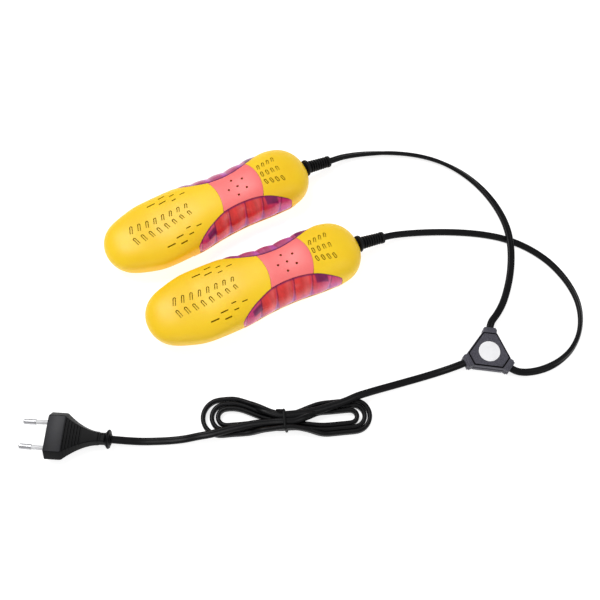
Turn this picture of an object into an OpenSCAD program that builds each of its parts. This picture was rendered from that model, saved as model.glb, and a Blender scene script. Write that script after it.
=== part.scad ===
// Pair of shoe-shaped electric boot dryers on a forked flat cord with a two-pin plug.
// Millimetres. +X runs from the dryers' toes to their heels, +Z is up.
// The origin is the middle of the pair's box, on the surface that everything rests on.

/* [Dryer body] */
// Overall length of one dryer, toe to heel
dryer_len = 170; // [160:1:185]
// Scale on the half widths of the body, toe, waist and heel together
width_scale = 1.0; // [0.92:0.01:1.08]
// Scale on the height of the crown
height_scale = 1.0; // [0.95:0.01:1.06]
// Wall thickness of the two shells
wall = 2.2; // [2.0:0.1:2.4]
// Height of the parting line between the lower and the upper shell
split_z = 5; // [4.5:0.1:6]
// Distance between the two dryers' long axes
pair_pitch = 73; // [73:1:90]
// Stagger of the front dryer along X
pair_stagger = 6.6; // [0:0.2:10]
// Angle that each dryer turns away from the X axis
splay = 2; // [0:0.5:3]

/* [Vents and windows] */
// Slots in each of the two centre rows on the toe
toe_slots = 8; // [6:1:9]
// Width of a vent slot
slot_w = 2.3; // [1.6:0.1:2.8]
// Number of holes around the centre hole of the band
band_holes = 5; // [4:1:6]
// Diameter of the holes in the band
band_hole_d = 1.8; // [1.4:0.1:2.4]
// Pitch of the scallops along each side window
flute_pitch = 13.9; // [11:0.1:16]

/* [Strain relief] */
// Length of the strain relief outside the heel
relief_len = 22.5; // [20:0.5:30]
// Diameter of its flange
relief_flange_d = 13; // [11:0.5:15]
// Number of ribs
relief_ribs = 8; // [6:1:9]
// Angle that it points down
relief_drop = 14; // [8:1:16]

/* [Cord and plug] */
// Width of the flat two-core cord
cord_w = 5.2; // [4.6:0.1:5.6]
// Thickness of the flat two-core cord
cord_t = 3.2; // [2.8:0.1:3.4]
// Diameter of a plug pin at its metal tip
pin_d = 4.0; // [3.8:0.1:4.2]
// Distance between the pins at the plug's face
pin_pitch = 18.6; // [18.0:0.1:19.2]

/* [Hidden] */

yellow = [0.98, 0.80, 0.17];
coral = [0.98, 0.47, 0.47];
purple = [0.72, 0.20, 0.50];
black = [0.10, 0.10, 0.11];
grey = [0.32, 0.32, 0.36];
metal = [0.78, 0.78, 0.76];

// ---------------------------------------------------------------- body form
// Stations along the body, 0 at the toe and 1 at the heel, with the half width and crown height at each
st = [0, 0.12, 0.25, 0.40, 0.52, 0.64, 0.76, 0.88, 1];
half_w = [30.5, 27, 28.7, 28, 25, 23.8, 24.8, 25.6, 29.2];
crown = [30.4, 26.6, 24.8, 28.7, 29.8, 30.1, 31.7, 30.5, 28.5];
mid_z = 14.6;      // height of the widest line
toe_round = 0.22;  // share of the length that rounds off at the toe
heel_round = 0.16; // and at the heel
sq = 2.44;         // squareness of the upper section
sole_z = 0.8;      // underside of the shell, above the sole pad's face
rings = 18;
sides = 24;

function slope(v, i) = let(n = len(st) - 1, a = max(i - 1, 0), b = min(i + 1, n)) (v[b] - v[a]) / (st[b] - st[a]);
function seg(u) = min(len(st) - 2, max([for (i = [0:len(st) - 1]) st[i] <= u ? i : 0]));
function along(v, u) = let(i = seg(u), h = st[i + 1] - st[i], t = (u - st[i]) / h)
  (2*t^3 - 3*t^2 + 1) * v[i] + (t^3 - 2*t^2 + t) * h * slope(v, i) + (3*t^2 - 2*t^3) * v[i + 1] + (t^3 - t^2) * h * slope(v, i + 1);
function cap(u) = let(q = u < toe_round ? (toe_round - u) / toe_round : u > 1 - heel_round ? (u - 1 + heel_round) / heel_round : 0) sqrt(max(0, 1 - q^2));
function half(u, d) = (along(half_w, u) * width_scale - d) * cap(u);
function rise(u, d) = (along(crown, u) * height_scale - mid_z - d) * cap(u);
function drop(u, d) = (mid_z + 1.5 - d) * cap(u);
function station(x) = x / dryer_len + 0.5;
function pow_s(v, p) = sign(v) * abs(v)^p;
// A point of the body surface, inset by d, at station u and angle a (0 at the +Y side, 90 at the crown)
function skin(u, a, d) = [(u - 0.5) * (dryer_len - 2*d), half(u, d) * pow_s(cos(a), 2/sq),
  sin(a) >= 0 ? mid_z + rise(u, d) * sin(a)^(2/sq) : max(sole_z + d, mid_z - drop(u, d) * abs(sin(a))^(2/3))];
// The angle at which the surface is y out from the axis, and the one at which it is z high below its widest line
function angle_y(u, y, d) = acos(min(1, max(0, y / half(u, d)))^(sq/2));
function angle_z(u, z, d) = -asin(min(1, max(0, (mid_z - z) / drop(u, d)))^1.5);

function grid_faces(m, n) = [for (i = [0:m - 2]) for (k = [0:n - 1]) let(a = i*n + k, b = i*n + (k + 1) % n, c = a + n, e = b + n) each [[a, e, b], [a, c, e]]];

// The whole body, inset by d
module body_form(d) {
  us = [for (i = [1:rings]) (1 - cos(180 * i / (rings + 1))) / 2];
  pts = [for (u = us) for (k = [0:sides - 1]) skin(u, 360 * (k + 0.5) / sides, d)];
  n = len(pts);
  polyhedron(
    points = concat(pts, [[-dryer_len/2 + d, 0, mid_z]], [[dryer_len/2 - d, 0, mid_z]]),
    faces = concat(grid_faces(rings, sides),
      [for (k = [0:sides - 1]) [n, k, (k + 1) % sides]],
      [for (k = [0:sides - 1]) [n + 1, n - sides + (k + 1) % sides, n - sides + k]]),
    convexity = 6);
}

// A closed patch between two surfaces: outer[i][j] above inner[i][j], both m by n
module patch(outer, inner) {
  m = len(outer); n = len(outer[0]);
  o = function(i, j) i*n + j;
  p = function(i, j) m*n + i*n + j;
  polyhedron(
    points = concat([for (r = outer) each r], [for (r = inner) each r]),
    faces = concat(
      [for (i = [0:m - 2]) for (j = [0:n - 2]) each [[o(i,j), o(i,j+1), o(i+1,j+1)], [o(i,j), o(i+1,j+1), o(i+1,j)]]],
      [for (i = [0:m - 2]) for (j = [0:n - 2]) each [[p(i,j), p(i+1,j+1), p(i,j+1)], [p(i,j), p(i+1,j), p(i+1,j+1)]]],
      [for (i = [0:m - 2]) each [[o(i,0), o(i+1,0), p(i+1,0)], [o(i,0), p(i+1,0), p(i,0)], [o(i,n-1), p(i+1,n-1), o(i+1,n-1)], [o(i,n-1), p(i,n-1), p(i+1,n-1)]]],
      [for (j = [0:n - 2]) each [[o(0,j), p(0,j+1), o(0,j+1)], [o(0,j), p(0,j), p(0,j+1)], [o(m-1,j), o(m-1,j+1), p(m-1,j+1)], [o(m-1,j), p(m-1,j+1), p(m-1,j)]]]),
    convexity = 6);
}

// ---------------------------------------------------------------- band and window outlines, in plan
win_x0 = -20;
win_x1 = 61;
band_x = 26.8; // centre of the hole pattern
function curve(xs, v, x) = let(i = min(len(xs) - 2, max([for (k = [0:len(xs) - 1]) xs[k] <= x ? k : 0])), h = xs[i+1] - xs[i], t = (x - xs[i]) / h,
  m0 = (v[i+1] - v[max(i-1, 0)]) / (xs[i+1] - xs[max(i-1, 0)]), j = min(i+2, len(xs) - 1), m1 = (v[j] - v[i]) / (xs[j] - xs[i]))
  (2*t^3 - 3*t^2 + 1) * v[i] + (t^3 - 2*t^2 + t) * h * m0 + (3*t^2 - 2*t^3) * v[i+1] + (t^3 - t^2) * h * m1;
edge_x = [-20, -11, -3, 9, 26, 42, 53, 61];
edge_y = [27.6, 22.3, 18.4, 14.2, 13.3, 16.4, 20.9, 24.3];
function edge(x) = curve(edge_x, edge_y, x) * width_scale; // half width of the band, inner edge of a window
function band_toe(y) = 10.6 - 0.0135 * y^2;
function band_heel(y) = 45.2 - 0.0157 * y^2;
function band_pt(s, t, d, grow) = let(x = (1 - s) * (band_toe(edge(9) * (2*t - 1)) - grow) + s * (band_heel(edge(42) * (2*t - 1)) + grow), y = (edge(x) - 0.3) * (2*t - 1), u = station(x))
  [x, y, mid_z + rise(u, d) * (1 - (abs(y) / half(u, d))^sq)^(1/sq)];

// Everything between the toe dome and the heel dome, in plan
module plan_opening() {
  toe_x = [-20, -16, -11, -6, -1, 3.5];
  heel_x = [44.5, 48, 51.5, 54.5, 57.5, 61];
  toe = [for (x = toe_x) [x, edge(x)]];
  heel = [for (x = heel_x) [x, edge(x)]];
  polygon(concat([[win_x0 - 1, 45]], toe, [for (y = [14.6, 7, 0, -7, -14.6]) [band_toe(y), y]], [for (i = [5:-1:0]) [toe[i][0], -toe[i][1]]], [[win_x0 - 1, -45]],
    [[win_x1 + 1, -45]], [for (i = [5:-1:0]) [heel[i][0], -heel[i][1]]], [for (y = [-15.5, -8, 0, 8, 15.5]) [band_heel(y), y]], heel, [[win_x1 + 1, 45]]));
}
// The bridge that runs on under the band and joins the toe to the heel
function bridge_pt(s, t, d) = let(y = 12.4 * (2*t - 1), x = (1 - s) * (band_toe(y) - 3) + s * (band_heel(y) + 3), u = station(x))
  [x, y, mid_z + rise(u, d) * (1 - (abs(y) / half(u, d))^sq)^(1/sq)];
module bridge() patch([for (i = [0:4]) [for (j = [0:6]) bridge_pt(i/4, j/6, 1.5)]], [for (i = [0:4]) [for (j = [0:6]) bridge_pt(i/4, j/6, 3.4)]]);

// ---------------------------------------------------------------- vents
function toe_slot_len(i) = 6.4 - 3.0 * i / max(1, toe_slots - 1);
module slot(x, y, len, w, turn) {
  translate([x, y, 0]) rotate([0, 0, turn]) hull() for (s = [-1, 1]) translate([0, s * (len - w) / 2, 8]) cylinder(d = w, h = 30, $fn = 6);
}
module vents() {
  // two herringbone rows along the toe
  for (i = [0:toe_slots - 1]) for (s = [-1, 1]) let(f = i / (toe_slots - 1), x = -60.5 + 45 * f)
    slot(x, s * (5.0 - 2.1 * f), toe_slot_len(i), slot_w, s * -18);
  // short dashes down each side of the toe, in two slanting lines of three
  for (k = [0:2]) for (s = [-1, 1]) {
    slot(-21.2 - 8.6 * k, s * (13.5 + 3.0 * k), 4.0 + 1.1 * k, 1.8, 90);
    slot(-13.3 - 7.7 * k, s * (15.5 + 3.1 * k), 4.0 + 0.6 * k, 1.8, 90);
  }
  // three rows of four on the heel, fanning out a little
  for (i = [0:3]) for (r = [-1, 0, 1]) slot(48 + 4.4 * i, r * (7.0 + 0.75 * i), 3.2, 2.0, r * -14);
}

// ---------------------------------------------------------------- shells
screw_x = [-64, 52];
relief_x = dryer_len/2 + 0.5;
relief_z = 12.5;
module relief_frame() translate([relief_x, 0, relief_z]) rotate([0, relief_drop, 0]) rotate([0, 90, 0]) children();

module upper_shell() color(yellow) {
  difference() {
    union() {
      difference() {
        intersection() { body_form(0); translate([-120, -60, split_z]) cube([240, 120, 60]); }
        body_form(wall);
        translate([0, 0, -1]) linear_extrude(80) plan_opening();
        // below the widest line the windows take the whole side wall
        for (s = [-1, 1]) translate([win_x0, s > 0 ? 10 : -60, -1]) cube([win_x1 - win_x0, 50, mid_z + 1]);
        for (s = [-1, 1]) translate([win_x1 - 3.4, s > 0 ? 22 : -52, -1]) cube([3.4, 30, 21]);
        for (s = [-1, 1]) translate([win_x0, s > 0 ? 25.6 : -55.6, -1]) cube([2.4, 30, 18.4]);
      }
      bridge();
      // posts that take the shell screws
      for (x = screw_x) intersection() { translate([x, 0, 8.1]) cylinder(r = 3.2, h = 30, $fn = 20); body_form(wall / 2); }
    }
    vents();
    for (x = screw_x) translate([x, 0, 7]) cylinder(r = 1.5, h = 11, $fn = 16);
    for (i = [0:band_holes]) let(r = i == 0 ? 0 : 7.3, a = 180 + 360 * i / band_holes)
      translate([band_x + r * cos(a), r * sin(a), 10]) cylinder(d = band_hole_d + 0.6, h = 30, $fn = 6);
    // U-shaped mouth for the strain relief's neck, open at the parting line
    relief_frame() translate([0, 0, -14]) cylinder(r = 4.3, h = 16, $fn = 24);
    translate([dryer_len/2 - 9, -4.3, 0]) cube([12, 8.6, relief_z + 1]);
  }
}

// The lower shell's tray is one patch: from the parting line on one side, under the sole, to the other side
function tray_start(d) = toe_round * (1 - sqrt(1 - ((mid_z - split_z) / (mid_z + 1.5 - d))^2)) + 0.003;
function tray_end(d) = 1 - heel_round * (1 - sqrt(1 - ((mid_z - split_z) / (mid_z + 1.5 - d))^2)) - 0.003;
function tray_u(i, m, d) = tray_start(d) + (tray_end(d) - tray_start(d)) * (1 - cos(180 * i / m)) / 2;
function tray_pt(i, m, j, n, d) = let(u = tray_u(i, m, d), a = angle_z(u, split_z - 0.1, d)) skin(u, a - (180 + 2*a) * j / n, d);
module tray(m, n) {
  patch([for (i = [0:m]) [for (j = [0:n]) tray_pt(i, m, j, n, 0)]], [for (i = [0:m]) [for (j = [0:n]) tray_pt(i, m, j, n, wall)]]);
}
module lower_shell() color(yellow) difference() {
  union() {
    tray(22, 14);
    // locating tabs inside the upper shell
    for (x = [-56, -28, 56]) for (s = [-1, 1]) let(y = half(station(x), wall) * 0.80 - 2.4)
      translate([x - 4, s > 0 ? y : -y - 1.2, 2.5]) cube([8, 1.2, 5]);
    // sole pad
    translate([-50, -12, 0]) cube([90, 24, sole_z + 0.6]);
    for (x = [-50, 40]) translate([x, 0, 0]) cylinder(r = 12, h = sole_z + 0.6);
    // screw bosses
    for (x = screw_x) translate([x, 0, sole_z + 0.4]) cylinder(r = 4.4, h = 8 - sole_z - 0.4);
    // posts for the heater bracket
    for (x = [-54, 14]) translate([x, 0, sole_z + 1]) cylinder(r = 3, h = 8.4 - sole_z - 1);
    // posts for the lamp board
    for (x = [24, 40]) translate([x, 0, sole_z + 1]) cylinder(r = 2, h = 18.9 - sole_z - 1);
    // saddle and posts for the cord clamp
    translate([64, -4, sole_z + 1]) cube([5, 8, tail_z - cord_t/2 - 0.05 - sole_z - 1]);
    for (s = [-1, 1]) translate([66.5, s * 9, sole_z + 1]) cylinder(r = 2.8, h = 15.3 - sole_z - 1);
  }
  for (x = screw_x) { translate([x, 0, -1]) cylinder(r = 3.1, h = 5); translate([x, 0, -1]) cylinder(r = 1.7, h = 12); }
  for (x = [-54, 14]) translate([x, 0, 3.4]) cylinder(r = 1.1, h = 8);
  for (s = [-1, 1]) translate([66.5, s * 9, 8]) cylinder(r = 1.1, h = 10);
}

module saddle_band() color(coral) difference() {
  ns = 12; nt = 14;
  patch([for (i = [0:ns]) [for (j = [0:nt]) band_pt(i/ns, j/nt, 0, -0.3)]],
        [for (i = [0:ns]) [for (j = [0:nt]) band_pt(i/ns, j/nt, 1.25, -0.3)]]);
  for (i = [0:band_holes]) let(r = i == 0 ? 0 : 7.3, a = 180 + 360 * i / band_holes)
    translate([band_x + r * cos(a), r * sin(a), 15]) cylinder(d = band_hole_d, h = 30);
}

// Scalloped side window, s = 1 on the +Y side
function flute(x) = 0.9 * abs(sin(180 * (x + 2) / flute_pitch));
function win_pt(i, m, j, n, d, s) = let(x = win_x0 + 0.4 + (win_x1 - win_x0 - 0.8) * i / m, u = station(x), t = j / n,
    k = d + (0.9 - flute(x + 5 * t)) * 4 * t * (1 - t), a0 = angle_y(u, edge(x) + 0.35, k), a1 = angle_z(u, split_z + 0.3, k), p = skin(u, a0 + (a1 - a0) * t, k))
  [x, s * p[1], p[2]];
module side_window(s) color(purple, 0.6) {
  m = 30; n = 6;
  o = [for (i = [0:m]) [for (j = [0:n]) win_pt(i, m, j, n, 0.2, s)]];
  q = [for (i = [0:m]) [for (j = [0:n]) win_pt(i, m, j, n, 1.7, s)]];
  if (s > 0) patch(o, q); else patch(q, o);
}

// ---------------------------------------------------------------- inside a dryer
module heater_case() color(metal) difference() {
  translate([-50, -10.5, 10]) cube([60, 21, 5]);
  translate([-48, -7.5, 11.2]) cube([62, 15, 2.6]);
  for (i = [0:11]) translate([-47.5 + 4.8 * i, -11, 14.2]) cube([2.2, 22, 2]);
}
module heater_ceramic() color("white") for (i = [0:2]) translate([-46.5 + 17.5 * i, -7.2, 11.3]) cube([16.5, 14.4, 2.4]);
module heater_bracket() color("tan") difference() {
  union() {
    translate([-58, -8, 8.45]) cube([76, 16, 1.5]);
    for (x = [-52, 10.2]) for (s = [-1, 1]) translate([x, s * 2.6 - 1.5, 9.5]) cube([1.6, 3, 4]);
  }
  for (x = [-54, 14]) translate([x, 0, 8]) cylinder(r = 1.5, h = 4);
}
module bracket_screws() color(metal) for (x = [-54, 14]) translate([x, 0, 0]) {
  translate([0, 0, 4]) cylinder(r = 1.05, h = 6.2);
  translate([0, 0, 10]) cylinder(r = 1.9, h = 1.4);
}
module lamp_board() color("green") difference() {
  translate([20, -8, 19]) cube([24, 16, 1.2]);
  for (x = [27, 37]) for (s = [-1, 1]) translate([x, s * 1.27, 18]) cylinder(r = 0.45, h = 4);
}
module lamps() color("white", 0.6) for (x = [27, 37]) translate([x, 0, 0]) {
  translate([0, 0, 20.25]) cylinder(r = 2.9, h = 1);
  translate([0, 0, 21.2]) cylinder(r = 2.5, h = 2.2);
  translate([0, 0, 23.2]) intersection() { sphere(r = 2.5, $fn = 48); translate([-3, -3, 0]) cube([6, 6, 3]); }
  for (s = [-1, 1]) translate([0, s * 1.27, 17.4]) cylinder(r = 0.3, h = 3);
}
module thermal_cutout() color(metal) {
  translate([15, 9.5, 12.4]) rotate([0, 90, 0]) cylinder(r = 2, h = 10);
  translate([25, 9.5, 12.4]) rotate([0, 90, 0]) cylinder(r = 0.5, h = 5);
  translate([11, 9.5, 12.4]) rotate([0, 90, 0]) cylinder(r = 0.5, h = 4);
}
tail_z = 13.6;
module inner_lead() color(black) {
  // the flat jacket through the clamp
  translate([61, 0, tail_z]) rotate([0, 90, 0]) {
    translate([-cord_t/2, -(cord_w - cord_t)/2, 0]) cube([cord_t, cord_w - cord_t, 15.5]);
    for (s = [-1, 1]) translate([0, s * (cord_w - cord_t)/2, 0]) cylinder(d = cord_t, h = 15.5);
  }
  // the two cores, to the heater and to the cut-out
  for (s = [-1, 1]) {
    translate([48, s * 6.4, tail_z]) rotate([0, 90, 0]) cylinder(r = 0.9, h = 8.5);
    translate([56, s * 6.4, tail_z]) rotate([0, 0, s > 0 ? -45 : 45]) translate([0, 0, 0]) rotate([0, 90, 0]) cylinder(r = 0.9, h = 7.8);
    translate([s > 0 ? 30.3 : 10.5, s * (s > 0 ? 9.5 : 6.4), tail_z - (s > 0 ? 1.2 : 0)]) rotate([0, 90, 0]) cylinder(r = 0.9, h = s > 0 ? 16 : 38);
    if (s > 0) translate([46.1, 9.5, tail_z - 1.2]) rotate([0, 0, -58]) rotate([0, 83, 0]) cylinder(r = 0.9, h = 4);
  }
}
module cord_clamp() color("ivory") difference() {
  translate([63.5, -12, tail_z + cord_t/2 + 0.1]) cube([6, 24, 3]);
  for (s = [-1, 1]) translate([66.5, s * 9, 10]) cylinder(r = 1.5, h = 12);
}
module clamp_screws() color(metal) for (s = [-1, 1]) translate([66.5, s * 9, 0]) {
  translate([0, 0, 9]) cylinder(r = 1.05, h = 9.5);
  translate([0, 0, tail_z + cord_t/2 + 3.15]) cylinder(r = 2.1, h = 1.5);
}
module shell_screws() color(metal) for (x = screw_x) translate([x, 0, 0]) difference() {
  union() { translate([0, 0, 2.1]) cylinder(r = 2.8, h = 1.8); translate([0, 0, 3.5]) cylinder(r = 1.4, h = 12.5); }
  for (a = [0, 90]) translate([0, 0, 2.4]) rotate([0, 0, a]) cube([3.4, 0.8, 1], center = true);
}

module strain_relief() color(black) relief_frame() {
  body = relief_len - 5;
  step = body / relief_ribs;
  rotate_extrude() polygon(concat(
    [[0, -8.4], [5.2, -8.4], [5.2, -6], [4, -6], [4, -0.4], [relief_flange_d/2 - 0.4, -0.4], [relief_flange_d/2, 0], [relief_flange_d/2, 1.4], [relief_flange_d/2 - 0.6, 1.9], [3.6, 1.9]],
    [for (i = [0:relief_ribs - 1]) let(z = 2.3 + step * i, r = 4.9 - 0.9 * i / (relief_ribs - 1)) each [[3.5, z], [r, z + 0.3], [r, z + step * 0.62], [3.5, z + step * 0.8]]],
    [[3.5, relief_len - 2.6], [4.3, relief_len - 2.4], [4.3, relief_len - 0.2], [4.0, relief_len], [0, relief_len]]));
}

// ---------------------------------------------------------------- placing the pair
dryer_x = pair_stagger / 2;
dryer_y = pair_pitch / 2;
module dryer_a() translate([-dryer_x, dryer_y, 0]) rotate([0, 0, splay]) children();
module dryer_b() translate([dryer_x, -dryer_y, 0]) rotate([0, 0, -splay]) children();
// where each cord leaves its strain relief, and the direction it leaves in
exit_r = relief_x + relief_len * cos(relief_drop);
exit_z = relief_z - relief_len * sin(relief_drop);
function at_a(r, z) = [-dryer_x + r * cos(splay), dryer_y + r * sin(splay), z];
function at_b(r, z) = [dryer_x + r * cos(splay), -dryer_y - r * sin(splay), z];

// ---------------------------------------------------------------- flat cord
// route points are [x, y, z, roll]: roll 0 lies flat, 90 stands on its edge
function unit(v) = v / norm(v);
function dir_at(p, i) = let(a = p[max(i - 1, 0)], b = p[min(i + 1, len(p) - 1)]) unit([b[0] - a[0], b[1] - a[1], b[2] - a[2]]);
module flat_cord(p) {
  n = 8;
  pts = [for (i = [0:len(p) - 1]) let(t = dir_at(p, i), side = unit(cross(t, [0, 0, 1])), up = cross(side, t), r = p[i][3],
      a = side * cos(r) + up * sin(r), b = up * cos(r) - side * sin(r), c = [p[i][0], p[i][1], p[i][2]])
    for (k = [0:n - 1]) c + a * (cord_w/2 * pow_s(cos(45*k), 0.8)) + b * (cord_t/2 * pow_s(sin(45*k), 0.8))];
  m = len(p);
  polyhedron(points = pts, faces = concat(
    [for (f = grid_faces(m, n)) [f[0], f[2], f[1]]], [[for (k = [n - 1:-1:0]) k]], [[for (k = [0:n - 1]) (m - 1)*n + k]]), convexity = 8);
}
dr = cos(relief_drop);
dz = sin(relief_drop);
lead_a_route = concat([for (s = [0.1, 5, 12]) concat(at_a(exit_r + s*dr, exit_z - s*dz*0.8), [10 + s])], [
  [128, 38.6, 3.1, 40], [140, 34.8, 2.5, 55], [152, 29.4, 2.4, 60], [164, 22.7, 2.4, 60], [175, 14.8, 2.4, 60], [185, 5.1, 2.4, 60],
  [193.8, -6.8, 2.4, 60], [200.4, -20, 2.4, 60], [204.6, -34, 2.4, 60], [206.2, -48.3, 2.6, 50], [205.3, -62.3, 3.8, 25], [202.5, -75, 5.0, 0],
  [198.3, -86.5, 5.0, 0], [193, -97, 4.0, 20], [186, -107.8, 2.8, 45], [177, -118.4, 2.4, 60], [166.9, -127.8, 3.0, 25], [157.6, -134, 4.1, 5], [151, -137.4, 4.5, 0], [146.67, -141.57, 4.5, 0]]);
lead_b_route = concat([for (s = [0.1, 5, 12]) concat(at_b(exit_r + s*dr, exit_z - s*dz*0.8), [10 + s])], [
  [136, -45.7, 3.0, 40], [149, -50.6, 2.4, 55], [162, -56.8, 2.4, 60], [174.4, -63.6, 2.2, 40], [185.8, -71, 1.7, 15], [196.2, -79.4, 1.6, 0], [205.2, -89.2, 1.7, 15],
  [212.4, -100.4, 2.2, 40], [217.6, -112.4, 2.4, 60], [220.4, -125.2, 2.4, 60], [221, -138, 2.4, 60], [219, -151, 2.4, 60], [213.4, -163.4, 2.4, 60],
  [204.6, -174, 2.4, 60], [193.2, -181.6, 2.4, 60], [180.6, -185.3, 2.4, 55], [169, -185.8, 2.8, 30], [159.4, -184.4, 3.6, 10], [151.8, -181.8, 4.3, 0], [147.2, -178.6, 4.5, 0], [144.9, -175.46, 4.5, 0]]);
main_near_route = [[116.43, -156.97, 4.5, 0], [107, -155.9, 3.3, 0], [96, -154.2, 1.8, 0], [84, -152.4, 1.6, 0], [71, -150.3, 1.8, 0], [59, -148.6, 3.0, 0], [48, -147.3, 5.0, 0], [40, -146.5, 6.4, 0], [34, -145.8, 6.8, 0]];
main_far_route = [[-72, -125.8, 6.8, 0], [-80, -123.2, 5.6, 0], [-89, -120.2, 2.9, 0], [-98, -116.8, 1.7, 0], [-107.5, -112.8, 1.6, 0], [-117, -108.5, 1.9, 0], [-126, -104.2, 3.9, 0], [-135.8, -99.18, 6.85, 0]];

// hank: an outline pinched at its tie, with round ends that lean to opposite sides
hank_c = [-17, -137];
hank_turn = 160; // direction of its long axis
hank_left = 62;
hank_right = 60;
hank_h = 10.6;
tie_at = [2.2, 3.4];
function ease(x) = (1 - cos(180 * min(1, max(0, x)))) / 2;
function hank_mid(t) = tie_at[1] + (t > tie_at[0] ? -7.6 * ease((t - 2) / 40) : 0.6 * ease((2 - t) / 35));
function hank_w(t) = 7.2 + (t > tie_at[0] ? 7.4 * ease((t - 2) / 38) : 5.8 * ease((2 - t) / 32));
function hank_end(t, l, r) = abs(t) > l - r ? sqrt(max(0, 1 - ((abs(t) - l + r) / r)^2)) : 1;
function hank_half(t) = t < 0 ? hank_w(t) * hank_end(t, hank_right, 13) : hank_w(t) * hank_end(t, hank_left, 15);
module hank_frame() translate([hank_c[0], hank_c[1], 0]) rotate([0, 0, hank_turn]) children();
module cord_hank() color(black) hank_frame() difference() {
  ts = [for (i = [0:40]) -hank_right + (hank_right + hank_left) * (1 - cos(180 * i / 40)) / 2];
  linear_extrude(hank_h) polygon(concat([for (t = ts) [t, hank_mid(t) + max(0.4, hank_half(t))]], [for (i = [40:-1:0]) [ts[i], hank_mid(ts[i]) - max(0.4, hank_half(ts[i]))]]));
  difference() {
    translate([tie_at[0] - 2.2, -20, -1]) cube([4.4, 50, hank_h + 2]);
    translate([tie_at[0] - 4, tie_at[1] - 6.1, 1.2]) cube([8, 12.2, hank_h - 2.4]);
  }
}
module twist_tie() color(black) hank_frame() translate([tie_at[0], tie_at[1], 0]) difference() {
  translate([-2, -7.2, 0.05]) cube([4, 14.4, hank_h - 0.1]);
  translate([-3, -6.2, 1.1]) cube([6, 12.4, hank_h - 2.2]);
}

// ---------------------------------------------------------------- splitter
split_c = [136, -158];
split_turn = 57;
arm_r = 19.5;
mid_split = 4.5;
module splitter_frame() translate([split_c[0], split_c[1], 0]) rotate([0, 0, split_turn]) children();
function tri(r, c) = [for (a = [0, 120, 240]) each [[r*cos(a) + c*sin(a), r*sin(a) - c*cos(a)], [r*cos(a) - c*sin(a), r*sin(a) + c*cos(a)]]];
module collars(z, h) for (a = [0, 120, 240]) rotate([0, 0, a]) translate([arm_r - 4.5, -5, z]) cube([4.5, 10, h]);
module cord_holes() for (a = [0, 120, 240]) rotate([0, 0, a]) translate([9, -cord_w/2 - 0.15, mid_split - cord_t/2 - 0.1]) cube([12, cord_w + 0.3, cord_t + 0.2]);
module splitter_base() color(grey) difference() {
  union() {
    difference() {
      linear_extrude(mid_split - 0.05) polygon(tri(15.4, 5.6));
      translate([0, 0, 1.6]) linear_extrude(6) polygon(tri(12.6, 3.2));
    }
    collars(0, mid_split - 0.05);
    cylinder(r = 3, h = mid_split - 0.05);
  }
  cord_holes();
  translate([0, 0, 1.2]) cylinder(r = 1.05, h = 8);
}
module splitter_cover() color(grey) difference() {
  union() {
    difference() {
      union() {
        translate([0, 0, mid_split + 0.05]) linear_extrude(3) polygon(tri(15.2, 5.2));
        hull() { translate([0, 0, 7.5]) linear_extrude(0.1) polygon(tri(15.2, 5.2)); translate([0, 0, 8.9]) linear_extrude(0.1) polygon(tri(13.6, 4.2)); }
      }
      translate([0, 0, 2]) linear_extrude(5) polygon(tri(12.6, 3.2));
    }
    collars(mid_split + 0.05, 4);
    translate([0, 0, mid_split + 0.05]) cylinder(r = 3, h = 3);
  }
  cord_holes();
  translate([0, 0, 8]) cylinder(r = 7.95, h = 3);
  translate([0, 0, 2]) cylinder(r = 1.5, h = 8);
}
module splitter_disc() color("white") translate([0, 0, 8.05]) cylinder(r = 7.8, h = 1.15);
module splitter_screw() color(metal) {
  translate([0, 0, 2]) cylinder(r = 1, h = 5.4);
  translate([0, 0, 6.95]) intersection() { cylinder(r = 1.45, h = 1); cylinder(r = 3, h = 1); }
}
module splice_crimps() color("gold") {
  // stubs of the three cords and the two crimps that join their cores
  for (a = [0, 120, 240]) rotate([0, 0, a]) translate([9.4, -cord_w/2, mid_split - cord_t/2]) cube([arm_r - 11.2, cord_w, cord_t]);
  for (a = [60, 180]) rotate([0, 0, a]) translate([5.4, -3, mid_split]) rotate([-90, 0, 0]) cylinder(r = 1.4, h = 6);
}

// ---------------------------------------------------------------- plug
plug_face = [-175, -77];
plug_turn = 150.5;
plug_t = 13.7;
plug_w = 34;
toe_in = 1.5; // the pins close up slightly towards their tips
module plug_frame() translate([plug_face[0], plug_face[1], plug_t/2]) rotate([0, 0, plug_turn]) children();
module hexa(w, flat, t, x0, len) translate([x0, 0, 0]) rotate([0, -90, 0]) linear_extrude(len)
  polygon([[t/2, flat/2], [0, w/2], [-t/2, flat/2], [-t/2, -flat/2], [0, -w/2], [t/2, -flat/2]]);
module pin_axis(s) translate([0, s * pin_pitch/2, 0]) rotate([0, 0, -s * toe_in]) rotate([0, 90, 0]) children();
module plug_body() color(black) difference() {
  union() {
    hexa(plug_w, 26, plug_t, 0, 11.8);
    hull() { hexa(plug_w, 26, plug_t, -11.7, 0.1); hexa(10, 6.5, 10, -38, 0.1); }
    translate([-42, 0, 0]) rotate([0, 90, 0]) cylinder(r = 4.6, h = 5);
    translate([-44, 0, 0]) rotate([0, 90, 0]) cylinder(r = plug_t/2, h = 2.2);
    translate([-44.8, 0, 0]) rotate([0, 90, 0]) cylinder(r = 4, h = 1);
  }
  for (s = [-1, 1]) pin_axis(s) translate([0, 0, -14]) cylinder(r = 2.6, h = 10.1);
  for (s = [-1, 1]) pin_axis(s) translate([0, 0, -4]) cylinder(r = 1.72, h = 6);
}
module plug_pin(s) color(metal) pin_axis(s) {
  translate([0, 0, 10]) cylinder(d = pin_d, h = 8);
  translate([0, 0, 18]) cylinder(d1 = pin_d, d2 = pin_d - 1.6, h = 1);
  translate([0, 0, -6]) cylinder(r = 1.3, h = 16.1);
  translate([0, 0, -13.9]) cylinder(r = 2.5, h = 8);
}
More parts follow.
